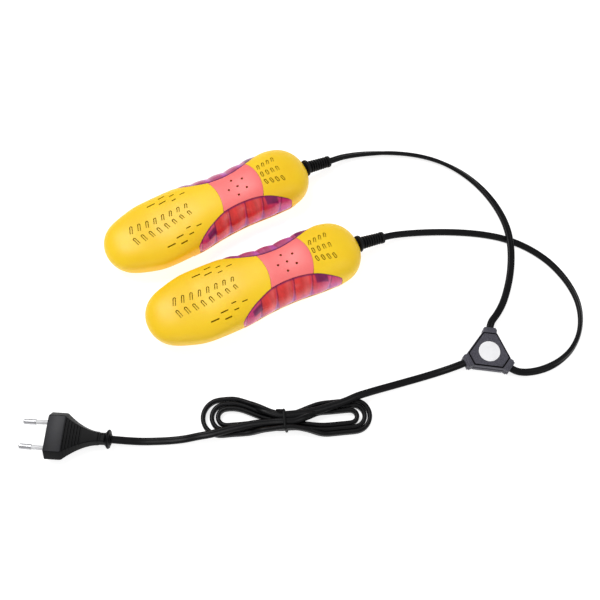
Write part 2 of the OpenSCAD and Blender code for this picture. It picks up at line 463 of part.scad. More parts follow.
module pin_sleeves() color("white") for (s = [-1, 1]) pin_axis(s) difference() {
  translate([0, 0, -3.9]) cylinder(r = 1.68, h = 13.85);
  translate([0, 0, -5]) cylinder(r = 1.35, h = 16);
}

dryer_a() upper_shell();  // upper_shell_a
dryer_a() lower_shell();  // lower_shell_a
dryer_a() saddle_band();  // saddle_band_a
dryer_a() side_window(1);  // window_outer_a
dryer_a() side_window(-1);  // window_inner_a
dryer_a() heater_case();  // heater_case_a
dryer_a() heater_ceramic();  // heater_ceramic_a
dryer_a() heater_bracket();  // heater_bracket_a
dryer_a() bracket_screws();  // bracket_screws_a
dryer_a() lamp_board();  // lamp_board_a
dryer_a() lamps();  // lamps_a
dryer_a() thermal_cutout();  // thermal_cutout_a
dryer_a() inner_lead();  // inner_lead_a
dryer_a() cord_clamp();  // cord_clamp_a
dryer_a() clamp_screws();  // clamp_screws_a
dryer_a() shell_screws();  // shell_screws_a
dryer_a() strain_relief();  // strain_relief_a
dryer_b() upper_shell();  // upper_shell_b
dryer_b() lower_shell();  // lower_shell_b
dryer_b() saddle_band();  // saddle_band_b
dryer_b() side_window(-1);  // window_outer_b
dryer_b() side_window(1);  // window_inner_b
dryer_b() heater_case();  // heater_case_b
dryer_b() heater_ceramic();  // heater_ceramic_b
dryer_b() heater_bracket();  // heater_bracket_b
dryer_b() bracket_screws();  // bracket_screws_b
dryer_b() lamp_board();  // lamp_board_b
dryer_b() lamps();  // lamps_b
dryer_b() thermal_cutout();  // thermal_cutout_b
dryer_b() inner_lead();  // inner_lead_b
dryer_b() cord_clamp();  // cord_clamp_b
dryer_b() clamp_screws();  // clamp_screws_b
dryer_b() shell_screws();  // shell_screws_b
dryer_b() strain_relief();  // strain_relief_b
splitter_frame() splitter_base();
splitter_frame() splitter_cover();
splitter_frame() splitter_disc();
splitter_frame() splitter_screw();
splitter_frame() splice_crimps();
color(black) flat_cord(lead_a_route);  // lead_a
color(black) flat_cord(lead_b_route);  // lead_b
color(black) flat_cord(main_near_route);  // main_cord_near
cord_hank();
twist_tie();
color(black) flat_cord(main_far_route);  // main_cord_far
plug_frame() plug_body();
plug_frame() plug_pin(1);  // plug_pin_left
plug_frame() plug_pin(-1);  // plug_pin_right
plug_frame() pin_sleeves();
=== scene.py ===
import math
import bpy
import numpy as np
from mathutils import Matrix, Vector


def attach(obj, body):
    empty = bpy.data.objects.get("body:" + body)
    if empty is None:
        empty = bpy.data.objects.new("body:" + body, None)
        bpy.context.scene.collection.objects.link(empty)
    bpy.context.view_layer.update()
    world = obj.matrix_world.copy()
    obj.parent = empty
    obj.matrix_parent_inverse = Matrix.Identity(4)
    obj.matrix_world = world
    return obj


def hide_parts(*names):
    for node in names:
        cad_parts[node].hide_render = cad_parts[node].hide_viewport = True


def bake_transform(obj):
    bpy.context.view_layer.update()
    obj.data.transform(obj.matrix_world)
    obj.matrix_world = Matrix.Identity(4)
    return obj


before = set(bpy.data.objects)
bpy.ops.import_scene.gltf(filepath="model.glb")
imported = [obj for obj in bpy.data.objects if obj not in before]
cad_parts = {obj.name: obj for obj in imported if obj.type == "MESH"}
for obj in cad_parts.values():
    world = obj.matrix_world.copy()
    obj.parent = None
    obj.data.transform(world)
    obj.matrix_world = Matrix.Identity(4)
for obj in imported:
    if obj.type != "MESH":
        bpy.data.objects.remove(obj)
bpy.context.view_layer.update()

scene = bpy.context.scene
scene.view_settings.view_transform = "Standard"
MM = 0.001


# ------------------------------------------------------------------ camera
def make_camera():
    data = bpy.data.cameras.new("camera")
    cam = bpy.data.objects.new("camera", data)
    scene.collection.objects.link(cam)
    pos = Vector((-83.975, -295.717, 594.074)) * MM
    aim = Vector((30.935, -57.483, 0.0)) * MM
    f = (aim - pos).normalized()
    r = f.cross(Vector((0, 0, 1))).normalized()
    u = r.cross(f)
    m = Matrix((r, u, -f)).transposed().to_4x4()
    m.translation = pos
    cam.matrix_world = m
    data.lens = 51.306
    data.sensor_width = 36.0
    data.clip_start, data.clip_end = 0.01, 20
    scene.camera = cam


make_camera()


# ------------------------------------------------------------------ mesh helpers (all in millimetres until the object is made)
def mesh_object(name, verts, faces, material=None, sharp=35.0):
    me = bpy.data.meshes.new(name)
    me.from_pydata((np.asarray(verts, float) * MM).tolist(), [], [list(map(int, f)) for f in faces])
    me.validate()
    ob = bpy.data.objects.new(name, me)
    scene.collection.objects.link(ob)
    if material:
        me.materials.append(material)
    shade(ob, sharp)
    return ob


def shade(ob, sharp=35.0):
    me = ob.data
    me.polygons.foreach_set("use_smooth", [True] * len(me.polygons))
    if sharp:
        me.set_sharp_from_angle(angle=math.radians(sharp))
    me.update()


def grid_faces(m, n, close_n=True, flip=False):
    i, k = np.meshgrid(np.arange(m - 1), np.arange(n if close_n else n - 1), indexing="ij")
    a, b = i * n + k, i * n + (k + 1) % n
    f = np.stack([a, b, b + n, a + n], -1).reshape(-1, 4)
    return (f[:, ::-1] if flip else f).tolist()


def closed_tube(rings):
    """rings: m x n x 3, closed round n, capped with a fan at both ends."""
    m, n, _ = rings.shape
    v = rings.reshape(-1, 3)
    c0, c1 = rings[0].mean(0), rings[-1].mean(0)
    v = np.vstack([v, c0, c1])
    f = grid_faces(m, n)
    f += [[m * n, (k + 1) % n, k] for k in range(n)]
    f += [[m * n + 1, (m - 1) * n + k, (m - 1) * n + (k + 1) % n] for k in range(n)]
    return v, f


def outward(ob):
    """Makes the faces of a closed mesh point outwards."""
    import bmesh
    bm = bmesh.new()
    bm.from_mesh(ob.data)
    bmesh.ops.recalc_face_normals(bm, faces=bm.faces)
    if bm.calc_volume(signed=True) < 0:
        bmesh.ops.reverse_faces(bm, faces=bm.faces)
    bm.to_mesh(ob.data)
    bm.free()
    return ob


def boolean(ob, cutter, op="DIFFERENCE", keep=False):
    outward(cutter)
    m = ob.modifiers.new("b", "BOOLEAN")
    m.operation, m.solver, m.object = op, "MANIFOLD", cutter
    dg = bpy.context.evaluated_depsgraph_get()
    me = bpy.data.meshes.new_from_object(ob.evaluated_get(dg))
    ob.modifiers.clear()
    ob.data = me
    if not keep:
        bpy.data.objects.remove(cutter)
    return ob


def join_parts(parts):
    """[(verts, faces), ...] -> one (verts, faces)"""
    vs, fs, k = [], [], 0
    for v, f in parts:
        v = np.asarray(v, float)
        vs.append(v)
        fs += [[i + k for i in q] for q in f]
        k += len(v)
    return np.vstack(vs), fs


def patch(outer, inner):
    """A closed plate between two m x n grids of points."""
    m, n, _ = outer.shape
    k = m * n
    v = np.vstack([outer.reshape(-1, 3), inner.reshape(-1, 3)])
    f = grid_faces(m, n, False) + [[q[3] + k, q[2] + k, q[1] + k, q[0] + k] for q in grid_faces(m, n, False)]
    for j in range(n - 1):
        f.append([j + 1, j, k + j, k + j + 1])
        a = (m - 1) * n + j
        f.append([a, a + 1, k + a + 1, k + a])
    for i in range(m - 1):
        a, b = i * n, (i + 1) * n
        f.append([a, b, k + b, k + a])
        a, b = i * n + n - 1, (i + 1) * n + n - 1
        f.append([b, a, k + a, k + b])
    return v, f


# ------------------------------------------------------------------ materials
def new_material(name, base, rough=0.4, coat=0.0, coat_rough=0.1, metallic=0.0, spec=0.5, sss=0.0, sss_radius=(1, .4, .1)):
    mat = bpy.data.materials.new(name)
    mat.use_nodes = True
    nt = mat.node_tree
    p = nt.nodes["Principled BSDF"]
    p.inputs["Base Color"].default_value = (*base, 1)
    p.inputs["Roughness"].default_value = rough
    p.inputs["Metallic"].default_value = metallic
    p.inputs["Coat Weight"].default_value = coat
    p.inputs["Coat Roughness"].default_value = coat_rough
    p.inputs["Specular IOR Level"].default_value = spec
    if sss:
        p.inputs["Subsurface Weight"].default_value = sss
        p.inputs["Subsurface Radius"].default_value = sss_radius
        p.inputs["Subsurface Scale"].default_value = 0.002
    return mat, nt, p


def noise(nt, coords, scale, detail=4.0, rough=0.6):
    n = nt.nodes.new("ShaderNodeTexNoise")
    n.inputs["Scale"].default_value = scale
    n.inputs["Detail"].default_value = detail
    n.inputs["Roughness"].default_value = rough
    nt.links.new(coords, n.inputs["Vector"])
    return n.outputs["Fac"]


def coords(nt):
    return nt.nodes.new("ShaderNodeTexCoord").outputs["Object"]


def ramp(nt, fac, stops):
    r = nt.nodes.new("ShaderNodeValToRGB")
    e = r.color_ramp.elements
    while len(e) < len(stops):
        e.new(0.5)
    for el, (pos, col) in zip(e, stops):
        el.position = pos
        el.color = (*col, 1) if len(col) == 3 else col
    nt.links.new(fac, r.inputs["Fac"])
    return r.outputs["Color"]


def scale_range(nt, fac, lo, hi, a=0.3, b=0.7):
    m = nt.nodes.new("ShaderNodeMapRange")
    m.inputs["From Min"].default_value, m.inputs["From Max"].default_value = a, b
    m.inputs["To Min"].default_value, m.inputs["To Max"].default_value = lo, hi
    nt.links.new(fac, m.inputs["Value"])
    return m.outputs["Result"]


def bump(nt, p, height, strength, distance):
    b = nt.nodes.new("ShaderNodeBump")
    b.inputs["Strength"].default_value = strength
    b.inputs["Distance"].default_value = distance
    nt.links.new(height, b.inputs["Height"])
    nt.links.new(b.outputs["Normal"], p.inputs["Normal"])


def moulded(name, dark, light, rough=(0.36, 0.46), grain=900, depth=0.00004, blotch=22, **kw):
    """Moulded plastic: broad colour drift, fine spark-eroded grain and uneven gloss."""
    mat, nt, p = new_material(name, light, **kw)
    c = coords(nt)
    broad = noise(nt, c, blotch, 3)
    fine = noise(nt, c, grain, 2)
    nt.links.new(ramp(nt, broad, [(0.30, dark), (0.70, light)]), p.inputs["Base Color"])
    nt.links.new(scale_range(nt, noise(nt, c, 60, 4), *rough), p.inputs["Roughness"])
    bump(nt, p, fine, 0.35, depth)
    return mat


def srgb(r, g, b, k=1.0):
    return tuple(k * ((x / 255 / 12.92) if x / 255 <= 0.04045 else ((x / 255 + 0.055) / 1.055) ** 2.4) for x in (r, g, b))


YELLOW = moulded("yellow_shell", srgb(248, 200, 18, .96), srgb(252, 210, 30, .99), rough=(.38, .50), spec=.35, coat=.05, coat_rough=.3, sss=.10, sss_radius=(1, .6, .05))
# darker olive painted on the vent walls and floors: painted shade
VENT_SHADE_PAINT = moulded("vent_painted_shade", srgb(186, 154, 14), srgb(210, 176, 26), rough=(.5, .62), spec=.2, blotch=300)
PEACH = moulded("yellow_base", srgb(250, 186, 96, .97), srgb(252, 198, 120, .99), rough=(.38, .50), spec=.35, coat=.05, coat_rough=.3, sss=.10, sss_radius=(1, .6, .2))
CORAL = moulded("coral_band", srgb(252, 112, 112, .96), srgb(254, 122, 120, .98), rough=(.38, .48), coat=.1, coat_rough=.3, sss=.1, sss_radius=(1, .3, .3))
GREY = moulded("grey_housing", srgb(50, 49, 57), srgb(88, 87, 97), rough=(.42, .55), spec=.25, grain=700, depth=.00010, blotch=1500)
CORD = moulded("black_cord", srgb(6, 6, 8), srgb(15, 15, 17), rough=(.34, .46), spec=.15, grain=500, depth=.00006, blotch=90)
RUBBER = moulded("black_rubber", srgb(8, 8, 9), srgb(18, 18, 19), rough=(.45, .58), spec=.18, grain=600, depth=.00008, blotch=80)
# lighter black for the plug's flat panels: painted light on the top
PLUG_LIT_PAINT = moulded("plug_black", srgb(16, 16, 20), srgb(34, 34, 40), rough=(.38, .5), spec=.22, grain=800, depth=.00006, blotch=120)
# darker black for the plug's other faces and the splitter groove: painted shade
BLACK_SHADE_PAINT = moulded("black_painted_shade", srgb(2, 2, 3), srgb(6, 6, 8), rough=(.42, .5), spec=.12, grain=500, depth=.00004, blotch=90)
DISC = moulded("white_disc", srgb(236, 236, 238), srgb(246, 246, 249), rough=(.35, .45), blotch=90)
IVORY = moulded("ivory_plastic", srgb(226, 216, 192), srgb(240, 232, 212), blotch=60)
CERAMIC = moulded("ceramic_white", srgb(228, 226, 220), srgb(242, 241, 236), rough=(.55, .7), blotch=150)


def metal(name, dark, light, rough=(.22, .4), stretch=(1, 12, 12), scale=300):
    mat, nt, p = new_material(name, light, metallic=1.0)
    m = nt.nodes.new("ShaderNodeMapping")
    m.inputs["Scale"].default_value = stretch
    nt.links.new(coords(nt), m.inputs["Vector"])
    brushed = noise(nt, m.outputs["Vector"], scale, 3)
    nt.links.new(ramp(nt, brushed, [(.3, dark), (.7, light)]), p.inputs["Base Color"])
    nt.links.new(scale_range(nt, brushed, *rough), p.inputs["Roughness"])
    bump(nt, p, brushed, .2, .00002)
    return mat


NICKEL = metal("pin_metal", srgb(176, 176, 179), srgb(196, 196, 199), rough=(.34, .38), scale=120)
STEEL = metal("screw_steel", srgb(150, 150, 152), srgb(196, 196, 198))
ALUMINIUM = metal("heater_metal", srgb(170, 171, 174), srgb(206, 207, 210))
BRASS = metal("brass_crimp", srgb(180, 140, 70), srgb(214, 176, 96))


def speckled(name, a, b, c3, scale=400, rough=.6):
    """Laminate or mica: flakes of three tones."""
    mat, nt, p = new_material(name, b, rough=rough)
    v = nt.nodes.new("ShaderNodeTexVoronoi")
    v.inputs["Scale"].default_value = scale
    nt.links.new(coords(nt), v.inputs["Vector"])
    sep = nt.nodes.new("ShaderNodeSeparateColor")
    nt.links.new(v.outputs["Color"], sep.inputs["Color"])
    nt.links.new(ramp(nt, sep.outputs["Red"], [(0, a), (.5, b), (1, c3)]), p.inputs["Base Color"])
    bump(nt, p, v.outputs["Distance"], .2, .00003)
    return mat


MICA = speckled("mica_board", srgb(176, 146, 100), srgb(206, 178, 132), srgb(190, 164, 122))
BOARD = speckled("circuit_board", srgb(20, 92, 52), srgb(26, 112, 62), srgb(34, 124, 72), scale=900, rough=.4)


def clear_plastic(name, tint, rough, alpha_like=.6):
    mat, nt, p = new_material(name, tint, rough=rough, spec=.5)
    p.inputs["Transmission Weight"].default_value = alpha_like
    c = coords(nt)
    nt.links.new(scale_range(nt, noise(nt, c, 300, 3), rough, rough + .12), p.inputs["Roughness"])
    nt.links.new(ramp(nt, noise(nt, c, 120, 3), [(.3, tuple(.93 * x for x in tint)), (.7, tint)]), p.inputs["Base Color"])
    return mat


SLEEVE = clear_plastic("pin_sleeve", srgb(240, 240, 242), .28, .25)
LENS = clear_plastic("lamp_lens", srgb(236, 240, 246), .18, .6)


def window_material():
    """Tinted, fluted window: the colour of each facet, with its painted highlights and painted shade, is stored on the
    mesh, and the nodes add cloudy streaks, sparkle and gloss.
    """
    mat, nt, p = new_material("purple_window", srgb(200, 60, 90), rough=.2, coat=.25, coat_rough=.08, spec=.3)
    at = nt.nodes.new("ShaderNodeAttribute")
    at.attribute_name = "tint"
    c = coords(nt)
    m = nt.nodes.new("ShaderNodeMapping")
    m.inputs["Scale"].default_value = (1.0, .35, .35)
    nt.links.new(c, m.inputs["Vector"])
    streak = noise(nt, m.outputs["Vector"], 260, 5, .65)
    hsv = nt.nodes.new("ShaderNodeHueSaturation")
    nt.links.new(at.outputs["Color"], hsv.inputs["Color"])
    nt.links.new(scale_range(nt, streak, .80, 1.18), hsv.inputs["Value"])
    nt.links.new(hsv.outputs["Color"], p.inputs["Base Color"])
    nt.links.new(scale_range(nt, noise(nt, c, 140, 3), .12, .26), p.inputs["Roughness"])
    bump(nt, p, noise(nt, c, 180, 2), .25, .0001)
    return mat


WINDOW = window_material()


# ------------------------------------------------------------------ cords (first, as their room is tested)
CORD_W, CORD_T = 5.4, 3.2
SPLAY = math.radians(2)
COS2, SIN2 = math.cos(SPLAY), math.sin(SPLAY)
DR, DZ = math.cos(math.radians(14)), math.sin(math.radians(14))
EXIT_R, EXIT_Z = 85.5 + 22.5 * DR, 12.5 - 22.5 * DZ


def at_a(r, z):
    return [-3.3 + r * COS2, 36.5 + r * SIN2, z]


def at_b(r, z):
    return [3.3 + r * COS2, -36.5 - r * SIN2, z]


LEAD_A = [at_a(EXIT_R + s * DR, EXIT_Z - s * DZ * .8) + [10 + s] for s in (-2.5, 5, 12)] + [
    [128, 38.6, 3.1, 30], [140, 34.8, 2.3, 42], [152, 29.4, 2.4, 60], [164, 22.7, 2.4, 60], [175, 14.8, 2.4, 60], [185, 5.1, 2.4, 60],
    [193.8, -6.8, 2.3, 47], [200.4, -20, 2.1, 34], [204.6, -34, 2.0, 22], [206.2, -48.3, 2.5, 11], [205.3, -62.3, 3.8, 4], [202.5, -75, 5.0, 0],
    [198.3, -86.5, 5.0, 0], [193, -97, 4.0, 5], [186, -107.8, 2.5, 8], [177, -118.4, 2.0, 8], [166.9, -127.8, 3.0, 4], [157.6, -134, 4.1, 5],
    [151, -137.4, 4.5, 0], [145.8, -142.9, 4.5, 0]]
LEAD_B = [at_b(EXIT_R + s * DR, EXIT_Z - s * DZ * .8) + [5] for s in (-2.5, 5, 12)]
LEAD_B[1][1] -= .4
LEAD_B[2][1] -= 1.2
LEAD_B += [
    [136, -45.8, 2.9, 4], [149, -50.7, 1.9, 3], [162, -56.8, 1.7, 2], [174.4, -63.6, 1.6, 0], [185.8, -71, 1.6, 0], [196.2, -79.4, 1.6, 0], [205.2, -89.2, 1.6, 2],
    [212.4, -100.4, 1.7, 8], [217.6, -112.4, 1.8, 13], [220.4, -125.2, 1.95, 20], [221, -138, 2.1, 30], [219, -151, 2.25, 42], [213.4, -163.4, 2.4, 58],
    [204.6, -174, 2.5, 72], [193.2, -181.6, 2.5, 70], [180.6, -185.3, 2.4, 57], [169, -185.8, 2.8, 30], [159.4, -184.4, 3.6, 10],
    [151.8, -181.8, 4.3, 0], [147.2, -178.6, 4.5, 0], [144.2, -174.1, 4.5, 0]]
MAIN_NEAR = [[118.8, -157.1, 4.5, 0], [107, -155.9, 3.3, 0], [96, -154.2, 1.8, 0], [84, -152.4, 1.6, 0], [71, -150.3, 1.8, 0], [59, -148.6, 3.0, 0],
    [48, -147.3, 5.0, 0], [40, -146.5, 6.4, 0], [34, -145.8, 6.8, 0]]
MAIN_FAR = [[-72, -125.8, 6.8, 0], [-80, -123.2, 5.6, 0], [-89, -120.2, 2.9, 0], [-98, -116.8, 1.7, 0], [-107.5, -112.8, 1.6, 0],
    [-117, -108.5, 1.9, 0], [-126, -104.2, 3.9, 0], [-138.5, -97.65, 6.85, 0]]

# hank frame: t along the long axis towards the plug, v across it towards the viewer
HANK_C = np.array([-17.0, -137.0])
HANK_T = np.array([math.cos(math.radians(160)), math.sin(math.radians(160))])
HANK_V = np.array([-math.sin(math.radians(160)), math.cos(math.radians(160))])
TIE_T, TIE_V = 2.2, 3.4


def ease(x):
    return (1 - math.cos(math.pi * min(1.0, max(0.0, x)))) / 2


def hank_mid(t):
    return TIE_V + (-7.6 * ease((t - 2) / 40) if t > TIE_T else .6 * ease((2 - t) / 35))


def hank_point(t, v, z, roll):
    p = HANK_C + HANK_T * t + HANK_V * v
    return [p[0], p[1], z, roll]


def hank_path():
    """Seven passes through the tie and three turns at each end."""
    left = {1: (-1, 13.0, 3.9, 0), 2: (1, 13.0, 5.5, 0), 3: (-1, 9.4, 4.8, 9), 4: (1, 9.6, 4.8, 9), 5: (-1, 6.0, 1.6, 11), 6: (1, 6.3, 1.6, 11)}
    right = {2: (1, 11.4, 5.5, 0), 3: (-1, 11.4, 4.8, 0), 4: (1, 8.2, 4.8, 2), 5: (-1, 8.0, 1.6, 2), 6: (1, 5.0, 1.6, 2), 7: (-1, 4.6, -1.3, 2)}
    lc = {1: 47.4, 3: 44.6, 5: 43.6}
    rc = {2: -47.0, 4: -46.6, 6: -44.5}
    step = 4.0

    def rel(k, t):
        table, at, span, out = (left, t - 2, 38, 1) if t >= 2 else (right, 2 - t, 30, 1)
        if k not in table:
            return None
        side, far, near, lag = table[k]
        return side * (near + (far - near) * ease((at - lag) / (span - lag)))

    def height(k, t):
        d = abs(t - TIE_T)
        lift = .45 * (1 - ease((d - 3) / 8))
        if k == 2:
            return 2.6 + 5.0 * (1 - ease((d - 14) / 14)) + lift, 90
        if k == 1:
            down = ease((t - 14) / 18)
            return 6.8 - 4.2 * down + lift, 90 * ease((t - 12) / 18)
        if k == 7:
            up = ease((t + 30) / 15)
            return 2.6 + 4.2 * up + lift, 90 * (1 - ease((t + 24) / 15))
        return 2.6 + lift, 90

    pts = []
    # pass 1 comes in flat on top of the right-hand turns
    for t, v in ((-42, -6.2), (-32.6, -3.9), (-24, -2.0), (-16, -.9), (-8, -.5), (2.2, -.5)):
        pts.append(hank_point(t, v, 6.8 + (.45 if abs(t - TIE_T) < 5 else 0), 0))

    def run(k, t0, t1, skip_first=False):
        n = max(2, int(abs(t1 - t0) / step))
        for i in range(n + 1):
            if skip_first and i == 0:
                continue
            t = t0 + (t1 - t0) * i / n
            z, roll = height(k, t)
            pts.append(hank_point(t, hank_mid(t) + rel(k, t), z, roll))

    def turn(tc, v0, v1, ahead):
        """Half turn from v0 to v1, bulging to +t when ahead is 1 and to -t when it is -1."""
        mid, r = (v0 + v1) / 2, (v1 - v0) / 2
        n = 12
        for i in range(1, n):
            a = math.pi * i / n
            pts.append(hank_point(tc + ahead * abs(r) * math.sin(a), mid - r * math.cos(a), 2.6, 90))

    run(1, 8.0, lc[1])
    turn(lc[1], hank_mid(lc[1]) + rel(1, lc[1]), hank_mid(lc[1]) + rel(2, lc[1]), 1)
    run(2, lc[1], rc[2])
    turn(rc[2], hank_mid(rc[2]) + rel(2, rc[2]), hank_mid(rc[2]) + rel(3, rc[2]), -1)
    run(3, rc[2], lc[3])
    turn(lc[3], hank_mid(lc[3]) + rel(3, lc[3]), hank_mid(lc[3]) + rel(4, lc[3]), 1)
    run(4, lc[3], rc[4])
    turn(rc[4], hank_mid(rc[4]) + rel(4, rc[4]), hank_mid(rc[4]) + rel(5, rc[4]), -1)
    run(5, rc[4], lc[5])
    turn(lc[5], hank_mid(lc[5]) + rel(5, lc[5]), hank_mid(lc[5]) + rel(6, lc[5]), 1)
    run(6, lc[5], rc[6])
    turn(rc[6], hank_mid(rc[6]) + rel(6, rc[6]), hank_mid(rc[6]) + rel(7, rc[6]), -1)
    # pass 7 rises inside the right-hand turns and leaves flat on top of the left-hand ones
    n = 8
    for i in range(n + 1):
        t = rc[6] + (-12 - rc[6]) * i / n
        z, roll = height(7, t)
        pts.append(hank_point(t, hank_mid(t) + rel(7, t), z, roll))
    for t, v in ((-5, 4.6), (2.2, 4.4), (12, 3.9), (25.6, 4.0), (34, 5.0), (43.4, 6.3), (50, 7.4)):
        pts.append(hank_point(t, v, 6.8 + (.45 if abs(t - TIE_T) < 5 else 0), 0))
    return pts


def spline(points, per=6):
    """Catmull-Rom through [x, y, z, roll], centripetal."""
    p = np.array(points, float)
    p = np.vstack([2 * p[0] - p[1], p, 2 * p[-1] - p[-2]])
    out = []
    for i in range(1, len(p) - 2):
        q = p[i - 1:i + 3]
        k = np.concatenate([[0], np.cumsum(np.sqrt(np.maximum(1e-6, np.linalg.norm(np.diff(q[:, :3], axis=0), axis=1))))])
        for t in np.linspace(k[1], k[2], per, endpoint=False):
            a1 = (k[1] - t) / (k[1] - k[0]) * q[0] + (t - k[0]) / (k[1] - k[0]) * q[1]
            a2 = (k[2] - t) / (k[2] - k[1]) * q[1] + (t - k[1]) / (k[2] - k[1]) * q[2]
            a3 = (k[3] - t) / (k[3] - k[2]) * q[2] + (t - k[2]) / (k[3] - k[2]) * q[3]
            b1 = (k[2] - t) / (k[2] - k[0]) * a1 + (t - k[0]) / (k[2] - k[0]) * a2
            b2 = (k[3] - t) / (k[3] - k[1]) * a2 + (t - k[1]) / (k[3] - k[1]) * a3
            out.append((k[2] - t) / (k[2] - k[1]) * b1 + (t - k[1]) / (k[2] - k[1]) * b2)
    out.append(p[-2])
    return np.array(out)


def resample(p, gap):
    d = np.concatenate([[0], np.cumsum(np.linalg.norm(np.diff(p[:, :3], axis=0), axis=1))])
    n = max(2, int(round(d[-1] / gap)) + 1)
    s = np.linspace(0, d[-1], n)
    return np.stack([np.interp(s, d, p[:, k]) for k in range(4)], 1)


def smooth_path(p, rounds=2):
    q = p.copy()
    for _ in range(rounds):
        q[1:-1] = .25 * q[:-2] + .5 * q[1:-1] + .25 * q[2:]
    return q


def cord_section():
    """Outline of the flat cord: two flat faces, round edges, and a shallow valley between the cores."""
    r = 1.35
    pts = []
    for cx, cy, a0 in ((CORD_W / 2 - r, CORD_T / 2 - r, 0), (-CORD_W / 2 + r, CORD_T / 2 - r, 90), (-CORD_W / 2 + r, -CORD_T / 2 + r, 180), (CORD_W / 2 - r, -CORD_T / 2 + r, 270)):
        for k in range(5):
            a = math.radians(a0 + 90 * k / 4)
            pts.append((cx + r * math.cos(a), cy + r * math.sin(a)))
        if a0 in (0, 180):
            s = 1 if a0 == 0 else -1
            pts += [(s * .75, s * (CORD_T / 2)), (s * .3, s * (CORD_T / 2 - .16)), (-s * .3, s * (CORD_T / 2 - .16)), (-s * .75, s * (CORD_T / 2))]
    return np.array(pts)


def flat_cord(name, route, gap=1.3):
    p = smooth_path(resample(spline(route), gap), 2)
    c = p[:, :3]
    t = np.gradient(c, axis=0)
    t /= np.linalg.norm(t, axis=1)[:, None]
    side = np.cross(t, [0, 0, 1.0])
    side /= np.linalg.norm(side, axis=1)[:, None]
    up = np.cross(side, t)
    r = np.radians(p[:, 3])[:, None]
    a, b = side * np.cos(r) + up * np.sin(r), up * np.cos(r) - side * np.sin(r)
    s = cord_section()
    rings = c[:, None, :] + a[:, None, :] * s[None, :, :1] + b[:, None, :] * s[None, :, 1:]
    rings[:, :, 2] = np.maximum(rings[:, :, 2], 0.02)
    v, f = closed_tube(rings)
    ob = mesh_object(name, v, f, CORD, 60)
    outward(ob)
    length = float(np.linalg.norm(np.diff(c, axis=0), axis=1).sum())
    return ob, c, length


lead_a, path_a, len_a = flat_cord("lead_a_cord", LEAD_A)
lead_b, path_b, len_b = flat_cord("lead_b_cord", LEAD_B)
main, path_m, len_m = flat_cord("main_cord", MAIN_NEAR + hank_path() + MAIN_FAR)
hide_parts("lead_a")
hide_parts("lead_b")
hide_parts("main_cord_near", "cord_hank", "main_cord_far")
for ob in (lead_a, lead_b, main):
    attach(ob, "root")
print("cord lengths", round(len_a), round(len_b), round(len_m))


# ------------------------------------------------------------------ dryer form, the same functions as the CAD source
BODY_L, MID_Z, SPLIT_Z, WALL, SOLE_Z, SQ = 170.0, 14.6, 5.0, 2.2, .8, 2.44
ST = np.array([0, .12, .25, .40, .52, .64, .76, .88, 1])
HALF_W = np.array([30.5, 27, 28.7, 28, 25, 23.8, 24.8, 25.3, 28.6])
CROWN = np.array([30.4, 26.6, 24.8, 28.7, 29.8, 30.1, 31.7, 30.2, 28.0])
EDGE_X = np.array([-20, -11, -3, 9, 26, 42, 53, 61.0])
EDGE_Y = np.array([27.6, 22.3, 18.4, 14.2, 13.3, 16.4, 20.9, 24.3])
WIN_X0, WIN_X1, FLUTE = -20.0, 61.0, 13.9


def hermite(xs, v, x):
    x = np.asarray(x, float)
    i = np.clip(np.searchsorted(xs, x, side="right") - 1, 0, len(xs) - 2)

    def slope(j):
        a, b = np.maximum(j - 1, 0), np.minimum(j + 1, len(xs) - 1)
        return (v[b] - v[a]) / (xs[b] - xs[a])
    h = xs[i + 1] - xs[i]
    t = (x - xs[i]) / h
    return (2 * t**3 - 3 * t**2 + 1) * v[i] + (t**3 - 2 * t**2 + t) * h * slope(i) + (3 * t**2 - 2 * t**3) * v[i + 1] + (t**3 - t**2) * h * slope(i + 1)


def cap(u):
    q = np.where(u < .22, (.22 - u) / .22, np.where(u > .84, (u - .84) / .16, 0))
    return np.sqrt(np.maximum(0, 1 - q**2))


def half(u, d):
    return (hermite(ST, HALF_W, u) - d) * cap(u)


def rise(u, d):
    return (hermite(ST, CROWN, u) - MID_Z - d) * cap(u)


def drop(u, d):
    return (MID_Z + 1.5 - d) * cap(u)


def station(x):
    return np.asarray(x, float) / BODY_L + .5


def skin(u, a, d):
    """Points on the body, inset by d, at station u and angle a in radians."""
    u, a = np.broadcast_arrays(np.asarray(u, float), np.asarray(a, float))
    c, s = np.cos(a), np.sin(a)
    x = (u - .5) * (BODY_L - 2 * d)
    y = half(u, d) * np.sign(c) * np.abs(c)**(2 / SQ)
    zt = MID_Z + rise(u, d) * np.abs(s)**(2 / SQ)
    low = MID_Z - drop(u, d) * np.abs(s)**(2 / 3)
    floor = SOLE_Z + d
    k = .5  # rounds the edge of the sole a little
    soft = np.where(np.abs(low - floor) < k, np.maximum(low, floor) + (k - np.abs(low - floor))**2 / (4 * k), np.maximum(low, floor))
    return np.stack([x, y, np.where(s >= 0, zt, soft)], -1)


def top_z(x, y, d=0.0):
    u = station(x)
    return MID_Z + rise(u, d) * np.maximum(0, 1 - (np.abs(y) / half(u, d))**SQ)**(1 / SQ)


def angle_y(u, y, d):
    return np.arccos(np.clip(y / half(u, d), 0, 1)**(SQ / 2))


def angle_z(u, z, d):
    return -np.arcsin(np.clip((MID_Z - z) / drop(u, d), 0, 1)**1.5)


def edge(x):
    return hermite(EDGE_X, EDGE_Y, x)


def band_toe(y):
    return 10.6 - .0135 * y**2


def band_heel(y):
    return 45.2 - .0157 * y**2


def body_mesh(d, m=190, n=168):
    q = (np.arange(1, m + 1) / (m + 1))
    u = (1 - np.cos(np.pi * q)) / 2
    u = .35 * u + .65 * q**1.0
    u = np.clip(np.concatenate([[.0004, .0015, .0035], u[u > .004], [.9965, .9985, .9996]]), 0, 1)
    u = np.unique(u)
    a = 2 * np.pi * (np.arange(n) + .5) / n
    a = a - .13 * np.sin(4 * a) / 2  # closer rows where the section turns fastest
    rings = skin(u[:, None], a[None, :], d)
    return closed_tube(rings)


